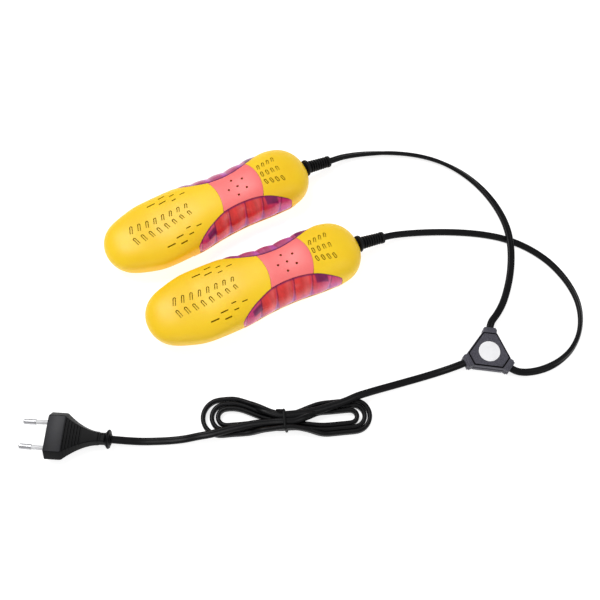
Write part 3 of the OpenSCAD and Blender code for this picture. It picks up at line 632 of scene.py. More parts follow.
def prism(xy_low, xy_high, z0, z1):
    """A closed block between two chains of plan points, from z0 to z1 (numbers or one value per point)."""
    lo, hi = np.asarray(xy_low, float), np.asarray(xy_high, float)
    n = len(lo)
    z0, z1 = np.broadcast_to(z0, n), np.broadcast_to(z1, n)
    rings = np.stack([np.column_stack([lo, z0]), np.column_stack([hi, z0]), np.column_stack([hi, z1]), np.column_stack([lo, z1])], 1)
    v = rings.reshape(-1, 3)
    f = grid_faces(n, 4) + [[3, 2, 1, 0], [4 * n - 4, 4 * n - 3, 4 * n - 2, 4 * n - 1]]
    return v, f


def cylinder(x, y, r, z0, z1, n=40):
    a = 2 * np.pi * np.arange(n) / n
    ring = np.stack([x + r * np.cos(a), y + r * np.sin(a)], 1)
    return closed_tube(np.stack([np.column_stack([ring, np.full(n, z0)]), np.column_stack([ring, np.full(n, z1)])]))


# ------------------------------------------------------------------ vents
def ribbon(path, width, top, bottom):
    """A closed strip along a plan path: width across it, top and bottom heights per point."""
    p = np.asarray(path, float)
    t = np.gradient(p, axis=0)
    t /= np.linalg.norm(t, axis=1)[:, None]
    n = np.stack([-t[:, 1], t[:, 0]], 1)
    return prism(p - n * width / 2, p + n * width / 2, bottom, top)


def arch_vent(x, y, length, width, turn, gap=.72, deep=1.7, ring=False):
    """An arched groove, deep at its round end (towards +Y) and shallow at its open end, or a full ring."""
    w = (width - gap) / 2
    l = length / 2 - gap / 2
    a = np.linspace(0, np.pi, 13)
    q = [(-w, -l + .1), (-w, -l / 2), (-w, 0)] if not ring else []
    arc = [(-w * math.cos(k), l - w + w * math.sin(k)) for k in a]
    if ring:
        low = [(w * math.cos(k), -l + w - w * math.sin(k)) for k in a]
        loop = arc + low
        loop.append(loop[0])
        p = np.array(loop)
    else:
        p = np.array(q + arc + [(w, 0), (w, -l / 2), (w, -l + .1)])
    r = math.radians(turn)
    pts = np.stack([x + p[:, 0] * math.cos(r) - p[:, 1] * math.sin(r), y + p[:, 0] * math.sin(r) + p[:, 1] * math.cos(r)], 1)
    z = top_z(pts[:, 0], pts[:, 1])
    k = np.clip((p[:, 1] + l) / (2 * l), 0, 1) if not ring else np.ones(len(p))
    if ring:
        a1, b1 = pts[:-1], np.roll(pts[:-1], -1, axis=0)
        t = b1 - np.roll(pts[:-1], 1, axis=0)
        t /= np.linalg.norm(t, axis=1)[:, None]
        n = np.stack([-t[:, 1], t[:, 0]], 1)
        lo, hi, zz = a1 - n * gap / 2, a1 + n * gap / 2, z[:-1]
        m = len(a1)
        rings = np.stack([np.column_stack([lo, zz - deep]), np.column_stack([hi, zz - deep]), np.column_stack([hi, zz + 1]), np.column_stack([lo, zz + 1])], 1)
        f = [[i * 4 + j, i * 4 + (j + 1) % 4, ((i + 1) % m) * 4 + (j + 1) % 4, ((i + 1) % m) * 4 + j] for i in range(m) for j in range(4)]
        return rings.reshape(-1, 3), f
    return ribbon(pts, gap, z + 1, z - (.9 + (deep - .9) * k))


def dash_vent(x, y, length, width=.85):
    """A narrow slit along X right through the wall, with rounded ends."""
    r = width / 2
    l = length / 2 - r
    chain_x = np.concatenate([x - l - r * np.cos(np.linspace(0, np.pi / 2, 6)), x + l + r * np.sin(np.linspace(0, np.pi / 2, 6))])
    hw = np.concatenate([r * np.sin(np.linspace(.12, np.pi / 2, 6)), r * np.cos(np.linspace(0, np.pi / 2 - .12, 6))])
    z = float(top_z(x, y))
    lo, hi = np.column_stack([chain_x, y - hw]), np.column_stack([chain_x, y + hw])
    return prism(lo, hi, z - 4.5, z + 3)


def vent_cutters():
    parts = []
    for i in range(8):
        f = i / 7
        for s in (-1, 1):
            parts.append(arch_vent(-60.5 + 45 * f, s * (5.2 - 1.9 * f), 7.4 - 2.8 * f, 2.4, s * -18))
    dashes = []
    for k in range(3):
        for s in (-1, 1):
            dashes.append(dash_vent(-21.2 - 8.6 * k, s * (13.5 + 3 * k), (3.8, 6.0, 6.8)[k], (.9, 1.0, 1.05)[k]))
            dashes.append(dash_vent(-13.3 - 7.7 * k, s * (15.5 + 3.1 * k), (4.4, 4.0, 5.6)[k], (.8, .9, 1.05)[k]))
    for i in range(4):
        for r in (-1, 0, 1):
            parts.append(arch_vent(48 + 4.4 * i, r * (7 + .75 * i), 4.8, 2.2, r * -14, gap=.66, ring=(r == -1 or (r == 0 and i < 2))))
    return join_parts(parts + dashes)


SCREW_X = (-64, 52)
HOLES = [(26.8, 0)] + [(26.8 + 7.3 * math.cos(math.radians(180 + 72 * i)), 7.3 * math.sin(math.radians(180 + 72 * i))) for i in range(1, 6)]


def relief_matrix():
    m = Matrix.Translation((85.5, 0, 12.5)) @ Matrix.Rotation(math.radians(14), 4, "Y") @ Matrix.Rotation(math.radians(90), 4, "Y")
    return np.array(m)


RELIEF = relief_matrix()


def to_relief(v):
    return np.asarray(v) @ RELIEF[:3, :3].T + RELIEF[:3, 3]


def make_upper_shell(name):
    ob = mesh_object(name, *body_mesh(0), YELLOW, None)
    outward(ob)
    boolean(ob, mesh_object("c", *body_mesh(WALL, 120, 112), None, None))
    boolean(ob, mesh_object("c", *prism([(-120, -60), (120, -60)], [(-120, 60), (120, 60)], -20, SPLIT_Z + .12), None, None))
    x = np.linspace(WIN_X0, WIN_X1, 90)
    e = edge(x)
    for s in (-1, 1):
        a, b = np.column_stack([x, s * e]), np.column_stack([x, np.full(90, s * 60.0)])
        boolean(ob, mesh_object("c", *prism(a, b, -5, 60), None, None))
        boolean(ob, mesh_object("c", *prism([(WIN_X0, s * 10), (WIN_X1, s * 10)], [(WIN_X0, s * 60), (WIN_X1, s * 60)], -4, MID_Z), None, None))
    y = np.linspace(-21, 21, 60)
    boolean(ob, mesh_object("c", *prism(np.column_stack([band_toe(y), y]), np.column_stack([band_heel(y), y]), -5, 60), None, None))
    # the bridge that runs on under the band
    s, t = np.meshgrid(np.linspace(0, 1, 24), np.linspace(0, 1, 30), indexing="ij")
    by = 12.4 * (2 * t - 1)
    bx = (1 - s) * (band_toe(by) - 3) + s * (band_heel(by) + 3)
    outer, inner = np.stack([bx, by, top_z(bx, by, 1.5)], -1), np.stack([bx, by, top_z(bx, by, 3.4)], -1)
    boolean(ob, mesh_object("c", *patch(outer, inner), None, None), "UNION")
    for px in SCREW_X:
        boolean(ob, mesh_object("c", *cylinder(px, 0, 3.2, 8.1, float(top_z(px, 0)) - 1), None, None), "UNION")
    boolean(ob, mesh_object("c", *vent_cutters(), None, None))
    boolean(ob, mesh_object("c", *join_parts([cylinder(px, 0, 1.5, 7, 18, 24) for px in SCREW_X] + [cylinder(hx, hy, 1.2, 10, 40, 20) for hx, hy in HOLES]), None, None))
    a = 2 * np.pi * np.arange(40) / 40
    neck = np.stack([np.column_stack([4.2 * np.cos(a), 4.2 * np.sin(a), np.full(40, z)]) for z in (-14, 3)])
    v, f = closed_tube(neck)
    boolean(ob, mesh_object("c", to_relief(v), f, None, None))
    boolean(ob, mesh_object("c", *prism([(76, -4.2), (88, -4.2)], [(76, 4.2), (88, 4.2)], 0, 12.6), None, None))
    ob.data.materials.clear()
    ob.data.materials.append(YELLOW)
    ob.data.materials.append(VENT_SHADE_PAINT)
    shade(ob, 32)
    # the walls and floors of the vent slots are painted a darker olive, as painted shade in the grooves
    me = ob.data
    c = np.empty(len(me.polygons) * 3)
    me.polygons.foreach_get("center", c)
    c = c.reshape(-1, 3) / MM
    skin_z = top_z(c[:, 0], np.clip(c[:, 1], -22, 22))
    under = skin_z - c[:, 2]
    inside = (np.abs(c[:, 1]) < 22) & (under > .12) & (under < 2.0) & ((c[:, 0] < -7) | (c[:, 0] > 45.5)) & (c[:, 0] > -68) & (c[:, 0] < 65)
    me.polygons.foreach_set("material_index", inside.astype(np.int32))
    return ob


def make_lower_shell(name):
    ob = mesh_object(name, *body_mesh(0, 150, 168), PEACH, None)
    outward(ob)
    boolean(ob, mesh_object("c", *body_mesh(WALL, 100, 112), None, None))
    boolean(ob, mesh_object("c", *prism([(-120, -60), (120, -60)], [(-120, 60), (120, 60)], SPLIT_Z - .13, 60), None, None))
    # sole pad with a softened rim
    a = 2 * np.pi * np.arange(72) / 72
    cx = np.where(np.cos(a) >= 0, 40.0, -50.0)
    rings = [np.column_stack([cx + r * np.cos(a), r * np.sin(a), np.full(72, z)]) for r, z in ((11.4, 0.0), (11.8, .15), (12, .45), (12, 1.5))]
    boolean(ob, mesh_object("c", *closed_tube(np.stack(rings)), None, None), "UNION")
    solids = []
    for px in SCREW_X:
        solids.append(cylinder(px, 0, 4.4, 1.2, 8))
    for px in (-54, 14):
        solids.append(cylinder(px, 0, 3, 1.8, 8.4))
    for px in (24, 40):
        solids.append(cylinder(px, 0, 2, 1.8, 18.9))
    for s in (-1, 1):
        solids.append(cylinder(66.5, s * 9, 2.8, 1.8, 15.3))
    for p in solids:
        boolean(ob, mesh_object("c", *p, None, None), "UNION")
    # the lip that runs out under each window
    lx = np.linspace(WIN_X0 - 5, WIN_X1 + 5, 150)
    lu = station(lx)
    swell = .55 * np.clip((lx - WIN_X0 + 5) / 7, 0, 1)**.5 * np.clip((WIN_X1 + 5 - lx) / 7, 0, 1)**.5
    ly = half(lu, 0) * np.cos(angle_z(lu, SPLIT_Z - .15, 0))**(2 / SQ)
    for s in (-1, 1):
        sec = [(-1.6, 3.4), (0, 3.3), (.55, 3.5), (.92, 3.95), (1, 4.3), (.92, 4.62), (.55, 4.84), (-1.6, 4.86)]
        rings = np.stack([np.column_stack([lx, s * (ly + np.where(k > 0, k * swell, k)), np.full(150, z)]) for k, z in sec], 1)
        boolean(ob, mesh_object("c", *closed_tube(rings), None, None), "UNION")
    holes = [cylinder(px, 0, 3.1, -1, 4) for px in SCREW_X]
    boolean(ob, mesh_object("c", *join_parts(holes), None, None))
    boolean(ob, mesh_object("c", *join_parts([cylinder(px, 0, 1.7, 3, 12, 24) for px in SCREW_X] + [cylinder(px, 0, 1.1, 3.4, 12, 24) for px in (-54, 14)]), None, None))
    ob.data.materials.clear()
    ob.data.materials.append(PEACH)
    shade(ob, 32)
    return ob


def make_band(name):
    s, t = np.meshgrid(np.linspace(0, 1, 56), np.linspace(0, 1, 60), indexing="ij")
    yb0, yb1 = (edge(9) - .1) * (2 * t - 1), (edge(42) - .1) * (2 * t - 1)
    x = (1 - s) * (band_toe(yb0) + .22) + s * (band_heel(yb1) - .22)
    y = (edge(x) - .12) * (2 * t - 1)
    bulge = .1 * (1 - (2 * s - 1)**8)
    outer = np.stack([x, y, top_z(x, y) + bulge - .1], -1)
    inner = np.stack([x, y, top_z(x, y, 1.25)], -1)
    ob = mesh_object(name, *patch(outer, inner), CORAL, None)
    outward(ob)
    boolean(ob, mesh_object("c", *join_parts([cylinder(hx, hy, .95, 15, 45, 28) for hx, hy in HOLES]), None, None))
    ob.data.materials.clear()
    ob.data.materials.append(CORAL)
    shade(ob, 32)
    return ob


def window_colour_and_painted_light(wx, x, t, s):
    """Linear colour of the window: three red facets between purple ends, each with painted shade in its valley and a
    painted pale violet highlight at its heel edge.
    """
    red, deep, lilac_highlight_paint = np.array(srgb(220, 58, 56)), np.array(srgb(84, 10, 84)), np.array(srgb(196, 96, 200))
    purple, rose_sheen_paint, valley_shade_paint = np.array(srgb(204, 62, 124)), np.array(srgb(232, 96, 96)), np.array(srgb(96, 10, 62))
    q = (wx + 2) / FLUTE
    k = np.floor(q)
    f = q - k

    def mix(a, b, w):
        w = np.clip(w, 0, 1)[..., None]
        return a * (1 - w) + b * w

    def step(v, lo, hi):
        s = np.clip((v - lo) / (hi - lo), 0, 1)
        return s * s * (3 - 2 * s)
    col = np.broadcast_to(red, wx.shape + (3,)).copy()
    # a lighter pink band across each facet: painted highlight on the curve of the flute
    col = mix(col, rose_sheen_paint, .6 * step(f, .35, .7) * (1 - step(f, .75, .9)))
    # purple towards the heel and at the toe end
    col = mix(col, purple, step(wx, 36, 52) * .8)
    col = mix(col, purple, (1 - step(wx, -9, 1)) * .85)
    # lower margin turns purple, with a painted pale violet highlight along the lower lip and a deep dark band above the
    # rim
    col = mix(col, purple, .75 * step(t, .50, .78) * (.55 + .45 * np.sin(5.1 * f + 2.3 * k)))
    col = mix(col, lilac_highlight_paint, .6 * step(t, .66, .8) * (1 - step(t, .86, .93)) * step(f, .3, .75))
    # painted highlight in pale violet along the heel edge of each facet
    col = mix(col, lilac_highlight_paint, .62 * step(f, .86, .93) * (1 - step(f, .96, .99)) * (.1 + .9 * t**1.5))
    # painted shade in the valleys between facets
    col = mix(col, valley_shade_paint, .8 * np.minimum(1, step(f, .95, .98) + (1 - step(f, .01, .06))) * (.6 + .4 * np.sin(9 * t + 2 * k)**2))
    if s > 0:
        mauve = np.array(srgb(170, 84, 132))
        col = mix(col, mauve, .8 * (1 - step(t, .34, .55)))
        # painted highlight in pale violet on the upper part of the far-side windows
        col = mix(col, lilac_highlight_paint, .5 * (1 - step(t, .34, .55)) * step(f, .55, .8) * (1 - step(f, .9, .97)))
    # painted violet shadow wedges that widen down each valley between facets
    near, wide = np.minimum(f, 1 - f), .05 + .2 * step(t, .35, .9)
    col = mix(col, np.array(srgb(142, 40, 150)), .55 * step(t, .35, .7) * (1 - step(near, .45 * wide, wide)))
    col = mix(col, deep, .9 * np.exp(-((t - .95) / .045)**2))
    col = mix(col, deep, .85 * np.exp(-((t - .01) / .028)**2))
    # painted shade: dark patches for the shaded interior seen through the clip openings
    for x0, x1, t0, t1 in ((-10.5, -3, .12, .42), (41.4, 50.2, .02, .30)):
        m = step(x, x0 - .8, x0 + .6) * (1 - step(x, x1 - .6, x1 + .8)) * step(t, t0 - .03, t0 + .03) * (1 - step(t, t1 - .05, t1 + .05))
        col = mix(col, deep, .76 * m)
    # painted highlight in pale violet at the heel's lower corner
    col = mix(col, lilac_highlight_paint, .65 * step(x, 45, 58) * step(t, .3, .7) * (1 - step(t, .88, .96)))
    return col


def make_window(name, s):
    m, n = 230, 46
    i, t = np.meshgrid(np.linspace(0, 1, m), np.linspace(0, 1, n), indexing="ij")
    x = WIN_X0 + .15 + (WIN_X1 - WIN_X0 - .3) * i
    u = station(x)
    flute = .9 * np.abs(np.sin(np.pi * (x + 5 * t + 2) / FLUTE))
    grids = []
    for d in (0.12, 1.6):
        k = d + (.9 - flute - (.25 if s > 0 else 0)) * 4 * t * (1 - t)
        a0, a1 = angle_y(u, edge(x) + .16, k), angle_z(u, SPLIT_Z + .2, k)
        a = a0 + (a1 - a0) * t
        c, sn = np.cos(a), np.sin(a)
        y = half(u, k) * np.sign(c) * np.abs(c)**(2 / SQ)
        z = np.where(sn >= 0, MID_Z + rise(u, k) * np.abs(sn)**(2 / SQ), MID_Z - drop(u, k) * np.abs(sn)**(2 / 3))
        grids.append(np.stack([x, s * y, z], -1))
    v, f = patch(*grids)
    ob = mesh_object(name, v, f, WINDOW, 40)
    outward(ob)
    col = window_colour_and_painted_light(x + 5 * t, x, t, s).reshape(-1, 3)
    # the inner face of the window is painted 0.6 times darker, as painted shade inside the shell
    col = np.vstack([col, col * .6])
    at = ob.data.color_attributes.new("tint", "FLOAT_COLOR", "POINT")
    at.data.foreach_set("color", np.column_stack([col, np.ones(len(col))]).astype(np.float32).ravel())
    return ob


def make_relief(name):
    """Lathed cord boot: flange, eight ribs that get smaller, and a thick end collar."""
    prof = [(0, -8.4), (5.2, -8.4), (5.2, -6), (4, -6), (4, -.4), (6.1, -.4), (6.45, -.1), (6.5, .3), (6.5, 1.3), (6.3, 1.7), (5.9, 1.9), (3.05, 1.95)]
    step = 17.5 / 8
    for i in range(8):
        z, r = 2.3 + step * i, 4.95 - .45 * i / 7
        prof += [(3.05, z), (r - .3, z + .05), (r - .05, z + .2), (r, z + .36), (r, z + step * .32), (r - .08, z + step * .42), (r - .3, z + step * .5), (3.05, z + step * .52)]
    prof += [(3.05, 20.0), (4.35, 20.05), (4.6, 20.3), (4.6, 22.0), (4.45, 22.35), (4.0, 22.5), (0, 22.5)]
    prof = np.array(prof)
    a = 2 * np.pi * np.arange(56) / 56
    rings = np.stack([np.column_stack([max(r, .01) * np.cos(a), max(r, .01) * np.sin(a), np.full(56, z)]) for r, z in prof])
    v, f = closed_tube(rings)
    ob = mesh_object(name, to_relief(v), f, RUBBER, 38)
    return outward(ob)


PLACES = {"a": (Matrix.Translation(Vector((-3.3, 36.5, 0)) * MM) @ Matrix.Rotation(SPLAY, 4, "Z"), at_a),
          "b": (Matrix.Translation(Vector((3.3, -36.5, 0)) * MM) @ Matrix.Rotation(-SPLAY, 4, "Z"), at_b)}
masters = {"upper": make_upper_shell("m_upper"), "lower": make_lower_shell("m_lower"), "band": make_band("m_band"), "wout": make_window("m_wout", -1), "win": make_window("m_win", 1), "relief": make_relief("m_relief")}
WHAT = {"upper": ("upper_shell", "yellow_shell"), "lower": ("lower_shell", "yellow_shell"), "band": ("saddle_band", "coral_band"), "relief": ("strain_relief", "black_rubber")}
for side, (place, at) in PLACES.items():
    # the outer window is on the side away from the other dryer
    names = dict(WHAT)
    names["win"] = (("window_outer" if side == "a" else "window_inner"), "purple_window")
    names["wout"] = (("window_inner" if side == "a" else "window_outer"), "purple_window")
    for key, (cad, slot) in names.items():
        src = masters[key]
        ob = bpy.data.objects.new(f"{cad}_{side}_looks", src.data.copy())
        scene.collection.objects.link(ob)
        ob.data.transform(place)
        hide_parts(f"{cad}_{side}")
        if key == "relief":
            start = Vector(at(86.5, 12.3)) * MM
            end = Vector(at(EXIT_R - .5, EXIT_Z)) * MM
            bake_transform(ob)
        else:
            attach(ob, f"dryer_{side}")
for ob in masters.values():
    bpy.data.objects.remove(ob)


# ------------------------------------------------------------------ splitter
SPLIT_C, SPLIT_TURN = (136.0, -158.0), math.radians(57)


def splitter_matrix():
    return Matrix.Translation(Vector((*SPLIT_C, 0)) * MM) @ Matrix.Rotation(SPLIT_TURN, 4, "Z")


def tri_ring(r, c, z, round_r=.5, per=5):
    """Three-armed outline: corners at r along each arm, c to each side, with rounded corners."""
    corners = []
    for k in range(3):
        a = 2 * math.pi * k / 3
        d, q = np.array([math.cos(a), math.sin(a)]), np.array([-math.sin(a), math.cos(a)])
        corners += [r * d - c * q, r * d + c * q]
    out = []
    n = len(corners)
    for i in range(n):
        p0, p1, p2 = corners[i - 1], corners[i], corners[(i + 1) % n]
        a, b = (p0 - p1) / np.linalg.norm(p0 - p1), (p2 - p1) / np.linalg.norm(p2 - p1)
        for k in range(per):
            t = k / (per - 1)
            s, e = p1 + a * round_r, p1 + b * round_r
            out.append((1 - t)**2 * s + 2 * t * (1 - t) * p1 + t * t * e)
    return np.column_stack([np.array(out), np.full(len(out), z)])


def lofted(name, rings, mat, sharp=30, place=None):
    v, f = closed_tube(np.stack(rings))
    ob = mesh_object(name, v, f, mat, sharp)
    outward(ob)
    if place is not None:
        ob.data.transform(place)
    return ob


def block_rings(x0, x1, hw, z0, z1, r=.35):
    """A rounded block along x as a stack of rings in z."""
    def ring(inset, z):
        a, b, h = x0 + inset, x1 - inset, hw - inset
        q = max(.05, r - inset * .5)
        pts = []
        for cx, cy, s in ((b - q, h - q, 0), (a + q, h - q, 90), (a + q, -h + q, 180), (b - q, -h + q, 270)):
            for k in range(4):
                t = math.radians(s + 30 * k)
                pts.append((cx + q * math.cos(t), cy + q * math.sin(t), z))
        return np.array(pts)
    return [ring(.5, z0), ring(.15, z0 + .15), ring(0, z0 + .5), ring(0, z1 - .55), ring(.16, z1 - .16), ring(.55, z1)]


def spun(v, deg):
    r = math.radians(deg)
    m = np.array([[math.cos(r), math.sin(r), 0], [-math.sin(r), math.cos(r), 0], [0, 0, 1]])
    return np.asarray(v) @ m


def make_splitter():
    place = splitter_matrix()
    # lower half, with the lower halves of the three collars
    base = lofted("splitter_base_looks", [tri_ring(14.6, 5.0, 0), tri_ring(15.1, 5.4, .25), tri_ring(15.4, 5.6, .8), tri_ring(15.4, 5.6, 4.2), tri_ring(15.3, 5.5, 4.42)], GREY)
    cover = lofted("splitter_cover_looks", [tri_ring(15.05, 5.1, 4.62), tri_ring(15.2, 5.2, 4.8), tri_ring(15.2, 5.2, 8.1), tri_ring(15.1, 5.15, 8.4), tri_ring(14.85, 5.0, 8.6),
        tri_ring(14.75, 4.95, 7.7), tri_ring(13.95, 4.45, 7.7), tri_ring(13.9, 4.42, 8.88), tri_ring(13.75, 4.33, 9.0), tri_ring(13.3, 4.05, 9.0)], GREY)
    for deg in (0, 120, 240):
        for ob, z0, z1 in ((base, .0, 4.42), (cover, 4.62, 8.5)):
            # a collar is a wide block and a slightly narrower lip outside it
            for x0, x1, hw, a, b in ((14.6, 18.3, 5.0, z0, z1), (17.6, 19.5, 4.35, z0 + .35 * (z0 < 1), z1 - .5 * (z1 > 5))):
                rings = [spun(r, deg) for r in block_rings(x0, x1, hw, a, b)]
                boolean(ob, lofted("c", rings, None), "UNION")
            # the mouth for the cord
            m = [spun(np.column_stack([np.full(24, x), 2.75 * np.cos(np.arange(24) * math.pi / 12), 4.5 + 1.75 * np.sin(np.arange(24) * math.pi / 12)]), deg) for x in (15.8, 21)]
            boolean(ob, lofted("c", m, None))
    # seat of the disc, and the screw recess underneath
    a = 2 * np.pi * np.arange(72) / 72
    def disc(r, z):
        return np.column_stack([r * np.cos(a), r * np.sin(a), np.full(72, z)])
    boolean(cover, lofted("c", [disc(8.0, 8.0), disc(8.0, 12)], None))
    boolean(base, lofted("c", [disc(3.0, -1), disc(3.0, 1.6)], None))
    for ob, mat in ((base, GREY), (cover, GREY)):
        ob.data.materials.clear()
        ob.data.materials.append(mat)
        ob.data.materials.append(BLACK_SHADE_PAINT)
        shade(ob, 30)
        if ob is cover:
            # walls and floor of the groove are painted the darker black: painted shade between plate and rim
            for f in ob.data.polygons:
                c = f.center / MM
                if 7.65 < c.z < 8.8 and math.hypot(c.x, c.y) > 8.3 and max(c.x * math.cos(k) + c.y * math.sin(k) for k in (0, 2 * math.pi / 3, 4 * math.pi / 3)) < 14.9 and max(-c.x * math.cos(k) - c.y * math.sin(k) for k in (0, 2 * math.pi / 3, 4 * math.pi / 3)) < 11.35:
                    f.material_index = 1
        ob.data.transform(place)
    top = lofted("splitter_disc_looks", [disc(7.7, 8.02), disc(7.8, 8.1), disc(7.8, 8.95), disc(7.72, 9.1), disc(7.5, 9.18), disc(7.2, 9.2), disc(3, 9.2)], DISC, 40, place)
    for ob, cad, slot in ((base, "splitter_base", "grey_housing"), (cover, "splitter_cover", "grey_housing"), (top, "splitter_disc", "white_disc")):
        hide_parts(cad)
        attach(ob, "root")
    return [base, cover, top]


splitter = make_splitter()


# ------------------------------------------------------------------ tie round the hank
def make_tie():
    hw, h0, h1, r = 7.35, .35, 10.75, 1.6
    mid = (h0 + h1) / 2
    loop = []
    for cy, cz, s in ((hw - r, h1 - r, 0), (-hw + r, h1 - r, 90), (-hw + r, h0 + r, 180), (hw - r, h0 + r, 270)):
        for k in range(9):
            t = math.radians(s + 90 * k / 8)
            loop.append((cy + r * math.cos(t), cz + r * math.sin(t)))
    loop = np.array(loop)
    n = len(loop)
    tan = np.roll(loop, -1, 0) - np.roll(loop, 1, 0)
    tan /= np.linalg.norm(tan, axis=1)[:, None]
    nor = np.stack([tan[:, 1], -tan[:, 0]], 1)
    sec = [(.85 * np.sign(math.cos(k)) * abs(math.cos(k))**.6, .34 * math.sin(k) + (.16 if abs(math.cos(k)) < .25 and math.sin(k) > 0 else 0)) for k in np.arange(16) * math.pi / 8]
    lean = .5
    v = []
    for i in range(n):
        for a, b in sec:
            p = loop[i] + nor[i] * b
            v.append((TIE_T + a + lean * (p[1] - mid) / 5, TIE_V + p[0], max(.03, p[1])))
    f = [[i * 16 + k, i * 16 + (k + 1) % 16, ((i + 1) % n) * 16 + (k + 1) % 16, ((i + 1) % n) * 16 + k] for i in range(n) for k in range(16)]
    parts = [(np.array(v), f)]
    # the two twisted ends, laid flat over the hank
    for s in (-1, 1):
        q = np.linspace(0, 1, 26)
        c = np.column_stack([TIE_T + 1.0 + 4.6 * q + 0 * q, TIE_V - 6.2 - .9 * q + .42 * s * np.sin(q * 16), 11.05 - 1.0 * q * q + .3 * s * np.cos(q * 16)])
        t = np.gradient(c, axis=0)
        t /= np.linalg.norm(t, axis=1)[:, None]
        u = np.cross(t, [0, 0, 1.0])
        u /= np.linalg.norm(u, axis=1)[:, None]
        w = np.cross(u, t)
        k = np.arange(10) * math.pi / 5
        parts.append(closed_tube(c[:, None] + .38 * (u[:, None] * np.cos(k)[None, :, None] + w[:, None] * np.sin(k)[None, :, None])))
    v, f = join_parts(parts)
    w = np.column_stack([HANK_C + v[:, :1] * HANK_T + v[:, 1:2] * HANK_V, v[:, 2]])
    ob = mesh_object("twist_tie_looks", w, f, RUBBER, 50)
    outward(ob)
    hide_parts("twist_tie")
    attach(ob, "root")
    return ob


tie = make_tie()


# ------------------------------------------------------------------ plug
def plug_matrix():
    return Matrix.Translation(Vector((-175, -77, 6.85)) * MM) @ Matrix.Rotation(math.radians(150.5), 4, "Z")


def plug_ring(x, w, f, h, n=6):
    """Flat hexagon section with eased corners: half width w, half flat f, half height h."""
    corners = [(w, 0), (f, h), (-f, h), (-w, 0), (-f, -h), (f, -h)]
    out = []
    m = len(corners)
    for i in range(m):
        p0, p1, p2 = (np.array(corners[j % m], float) for j in (i - 1, i, i + 1))
        a, b = p0 - p1, p2 - p1
        la, lb = np.linalg.norm(a), np.linalg.norm(b)
        r = min(.55, la * .4, lb * .4)
        s, e = p1 + a / la * r, p1 + b / lb * r
        for k in range(n):
            t = k / (n - 1)
            q = (1 - t)**2 * s + 2 * t * (1 - t) * p1 + t * t * e
            out.append((x, q[0], q[1]))
    return np.array(out)


def make_plug():
    place = plug_matrix()
    rings = []
    # front face and block
    for x, k in ((0, .93), (-.12, .97), (-.5, 1.0), (-11.3, 1.0), (-11.75, .985)):
        rings.append(plug_ring(x, 17 * k if k < 1 else 17, 13 * k if k < 1 else 13, 6.85 * (k + (1 - k) * .45)))
    # concave taper with transverse ribs
    for x in np.arange(-12.1, -36.01, -.3):
        q = (-11.8 - x) / 24.2
        w = 5.0 + 12.0 * (1 - q)**1.75
        f = 3.2 + 9.6 * (1 - q)**1.6
        h = 5.0 + 1.75 * (1 - q)**1.3
        ribs = 0.0
        if -25.6 < x < -13.0:
            ph = ((x + 13.0) / -2.1) % 1
            ribs = .55 * (1 if ph < .42 else 0)
            f -= ribs * .35
            h -= ribs
        rings.append(plug_ring(x, w, max(f, 2.2), h))
    # neck with a shallow window, then the end flange
    rings += [plug_ring(x, w, f, h) for x, w, f, h in ((-36.3, 4.9, 3.1, 4.9), (-36.6, 4.55, 2.9, 4.5), (-40.4, 4.5, 2.9, 4.4), (-40.6, 4.5, 2.9, 4.4))]
    ob = lofted("plug_body_looks", rings, PLUG_LIT_PAINT, 28)
    a = 2 * np.pi * (np.arange(48) + .5) / 48
    fl = [np.column_stack([np.full(48, x), r * np.cos(a), np.minimum(r, 6.83) * np.sin(a)]) for x, r in
          ((-38.5, 4.2), (-40.4, 4.3), (-41.5, 5.2), (-42.1, 6.2), (-42.5, 6.65), (-43.0, 6.8), (-43.5, 6.7), (-43.85, 6.3), (-44.0, 5.6), (-44.05, 4.3), (-44.8, 4.0))]
    boolean(ob, lofted("c", fl, None), "UNION")
    # raised panel lines on the neck: a shallow recess on each flat side
    for s in (-1, 1):
        r = [np.array([(x, y, z) for y, z in ((-2.1, s * 3.9), (2.1, s * 3.9), (2.1, s * 6), (-2.1, s * 6))]) for x in (-37.6, -40.0)]
        boolean(ob, lofted("c", r, None))
    # mouth for the cord
    m = [np.column_stack([np.full(24, x), 2.8 * np.cos(np.arange(24) * math.pi / 12), 1.8 * np.sin(np.arange(24) * math.pi / 12)]) for x in (-43.2, -46)]
    boolean(ob, lofted("c", m, None))
    ob.data.materials.clear()
    ob.data.materials.append(BLACK_SHADE_PAINT)
    ob.data.materials.append(PLUG_LIT_PAINT)
    shade(ob, 40)
    # the flat top and bottom panels of the block take the lighter black, as painted light on the top; every other face
    # takes the darker black, as painted shade
    for f in ob.data.polygons:
        if abs(f.normal.z) > .9 and f.center.x > -12.0 * MM:
            f.material_index = 1
    ob.data.transform(place)
    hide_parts("plug_body")
    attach(ob, "root")
    return ob


plug = make_plug()


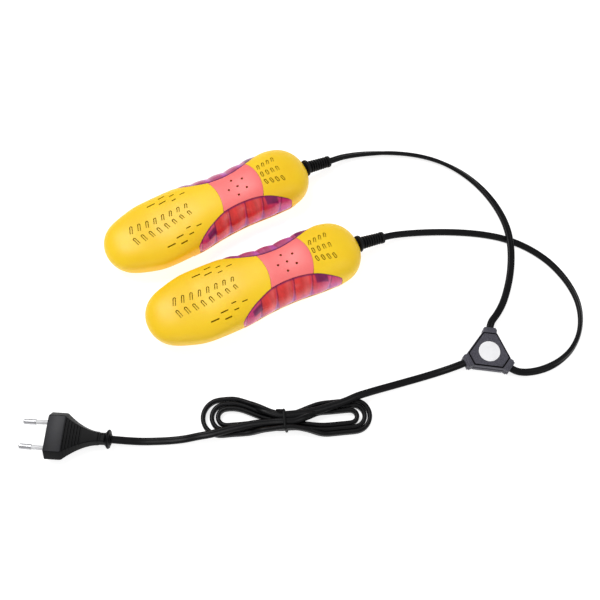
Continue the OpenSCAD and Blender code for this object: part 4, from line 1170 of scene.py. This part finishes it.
# ------------------------------------------------------------------ CAD pieces that stay, with their own finishes
FINISH = {
    "heater_case": ALUMINIUM, "heater_ceramic": CERAMIC, "heater_bracket": MICA, "bracket_screws": STEEL, "lamp_board": BOARD, "lamps": LENS,
    "thermal_cutout": ALUMINIUM, "inner_lead": CORD, "cord_clamp": IVORY, "clamp_screws": STEEL, "shell_screws": STEEL,
    "splitter_screw": STEEL, "splice_crimps": BRASS, "plug_pin_left": NICKEL, "plug_pin_right": NICKEL, "pin_sleeves": SLEEVE,
}
for name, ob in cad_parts.items():
    key = name[:-2] if name[-2:] in ("_a", "_b") else name
    if not ob.hide_render:
        ob.data.materials.clear()
        ob.data.materials.append(FINISH[key])


# ------------------------------------------------------------------ floor and light
def make_floor():
    me = bpy.data.meshes.new("floor")
    k = 4.0
    me.from_pydata([(-k, -k, -.0002), (k, -k, -.0002), (k, k, -.0002), (-k, k, -.0002)], [], [[0, 1, 2, 3]])
    floor = bpy.data.objects.new("floor", me)
    scene.collection.objects.link(floor)
    mat, nt, p = new_material("floor", (.60, .60, .60), rough=.9, spec=.05)
    c = coords(nt)
    nt.links.new(ramp(nt, noise(nt, c, 6, 2), [(.3, (.59, .59, .59)), (.7, (.61, .61, .61))]), p.inputs["Base Color"])
    p.inputs["Emission Color"].default_value = (1, 1, 1, 1)
    p.inputs["Emission Strength"].default_value = .74
    me.materials.append(mat)


def area(name, loc, aim, size, watts, colour=(1, 1, 1)):
    d = bpy.data.lights.new(name, "AREA")
    d.shape, d.size, d.energy, d.color = "DISK", size, watts, colour
    ob = bpy.data.objects.new(name, d)
    scene.collection.objects.link(ob)
    ob.location = loc
    ob.rotation_mode = "QUATERNION"
    ob.rotation_quaternion = (Vector(aim) - Vector(loc)).to_track_quat("-Z", "Y")


make_floor()
scene.world = bpy.data.worlds.new("studio")
scene.world.use_nodes = True
bg = scene.world.node_tree.nodes["Background"]
bg.inputs["Color"].default_value = (1, 1, 1, 1)
bg.inputs["Strength"].default_value = .42
area("key", (-.30, .75, 1.5), (0, -.05, 0), .8, 17)
area("fill", (.9, -.8, 1.1), (0, -.03, 0), .9, 3.0)
area("front", (-.6, -1.1, .7), (0, -.03, 0), .8, 2.5)
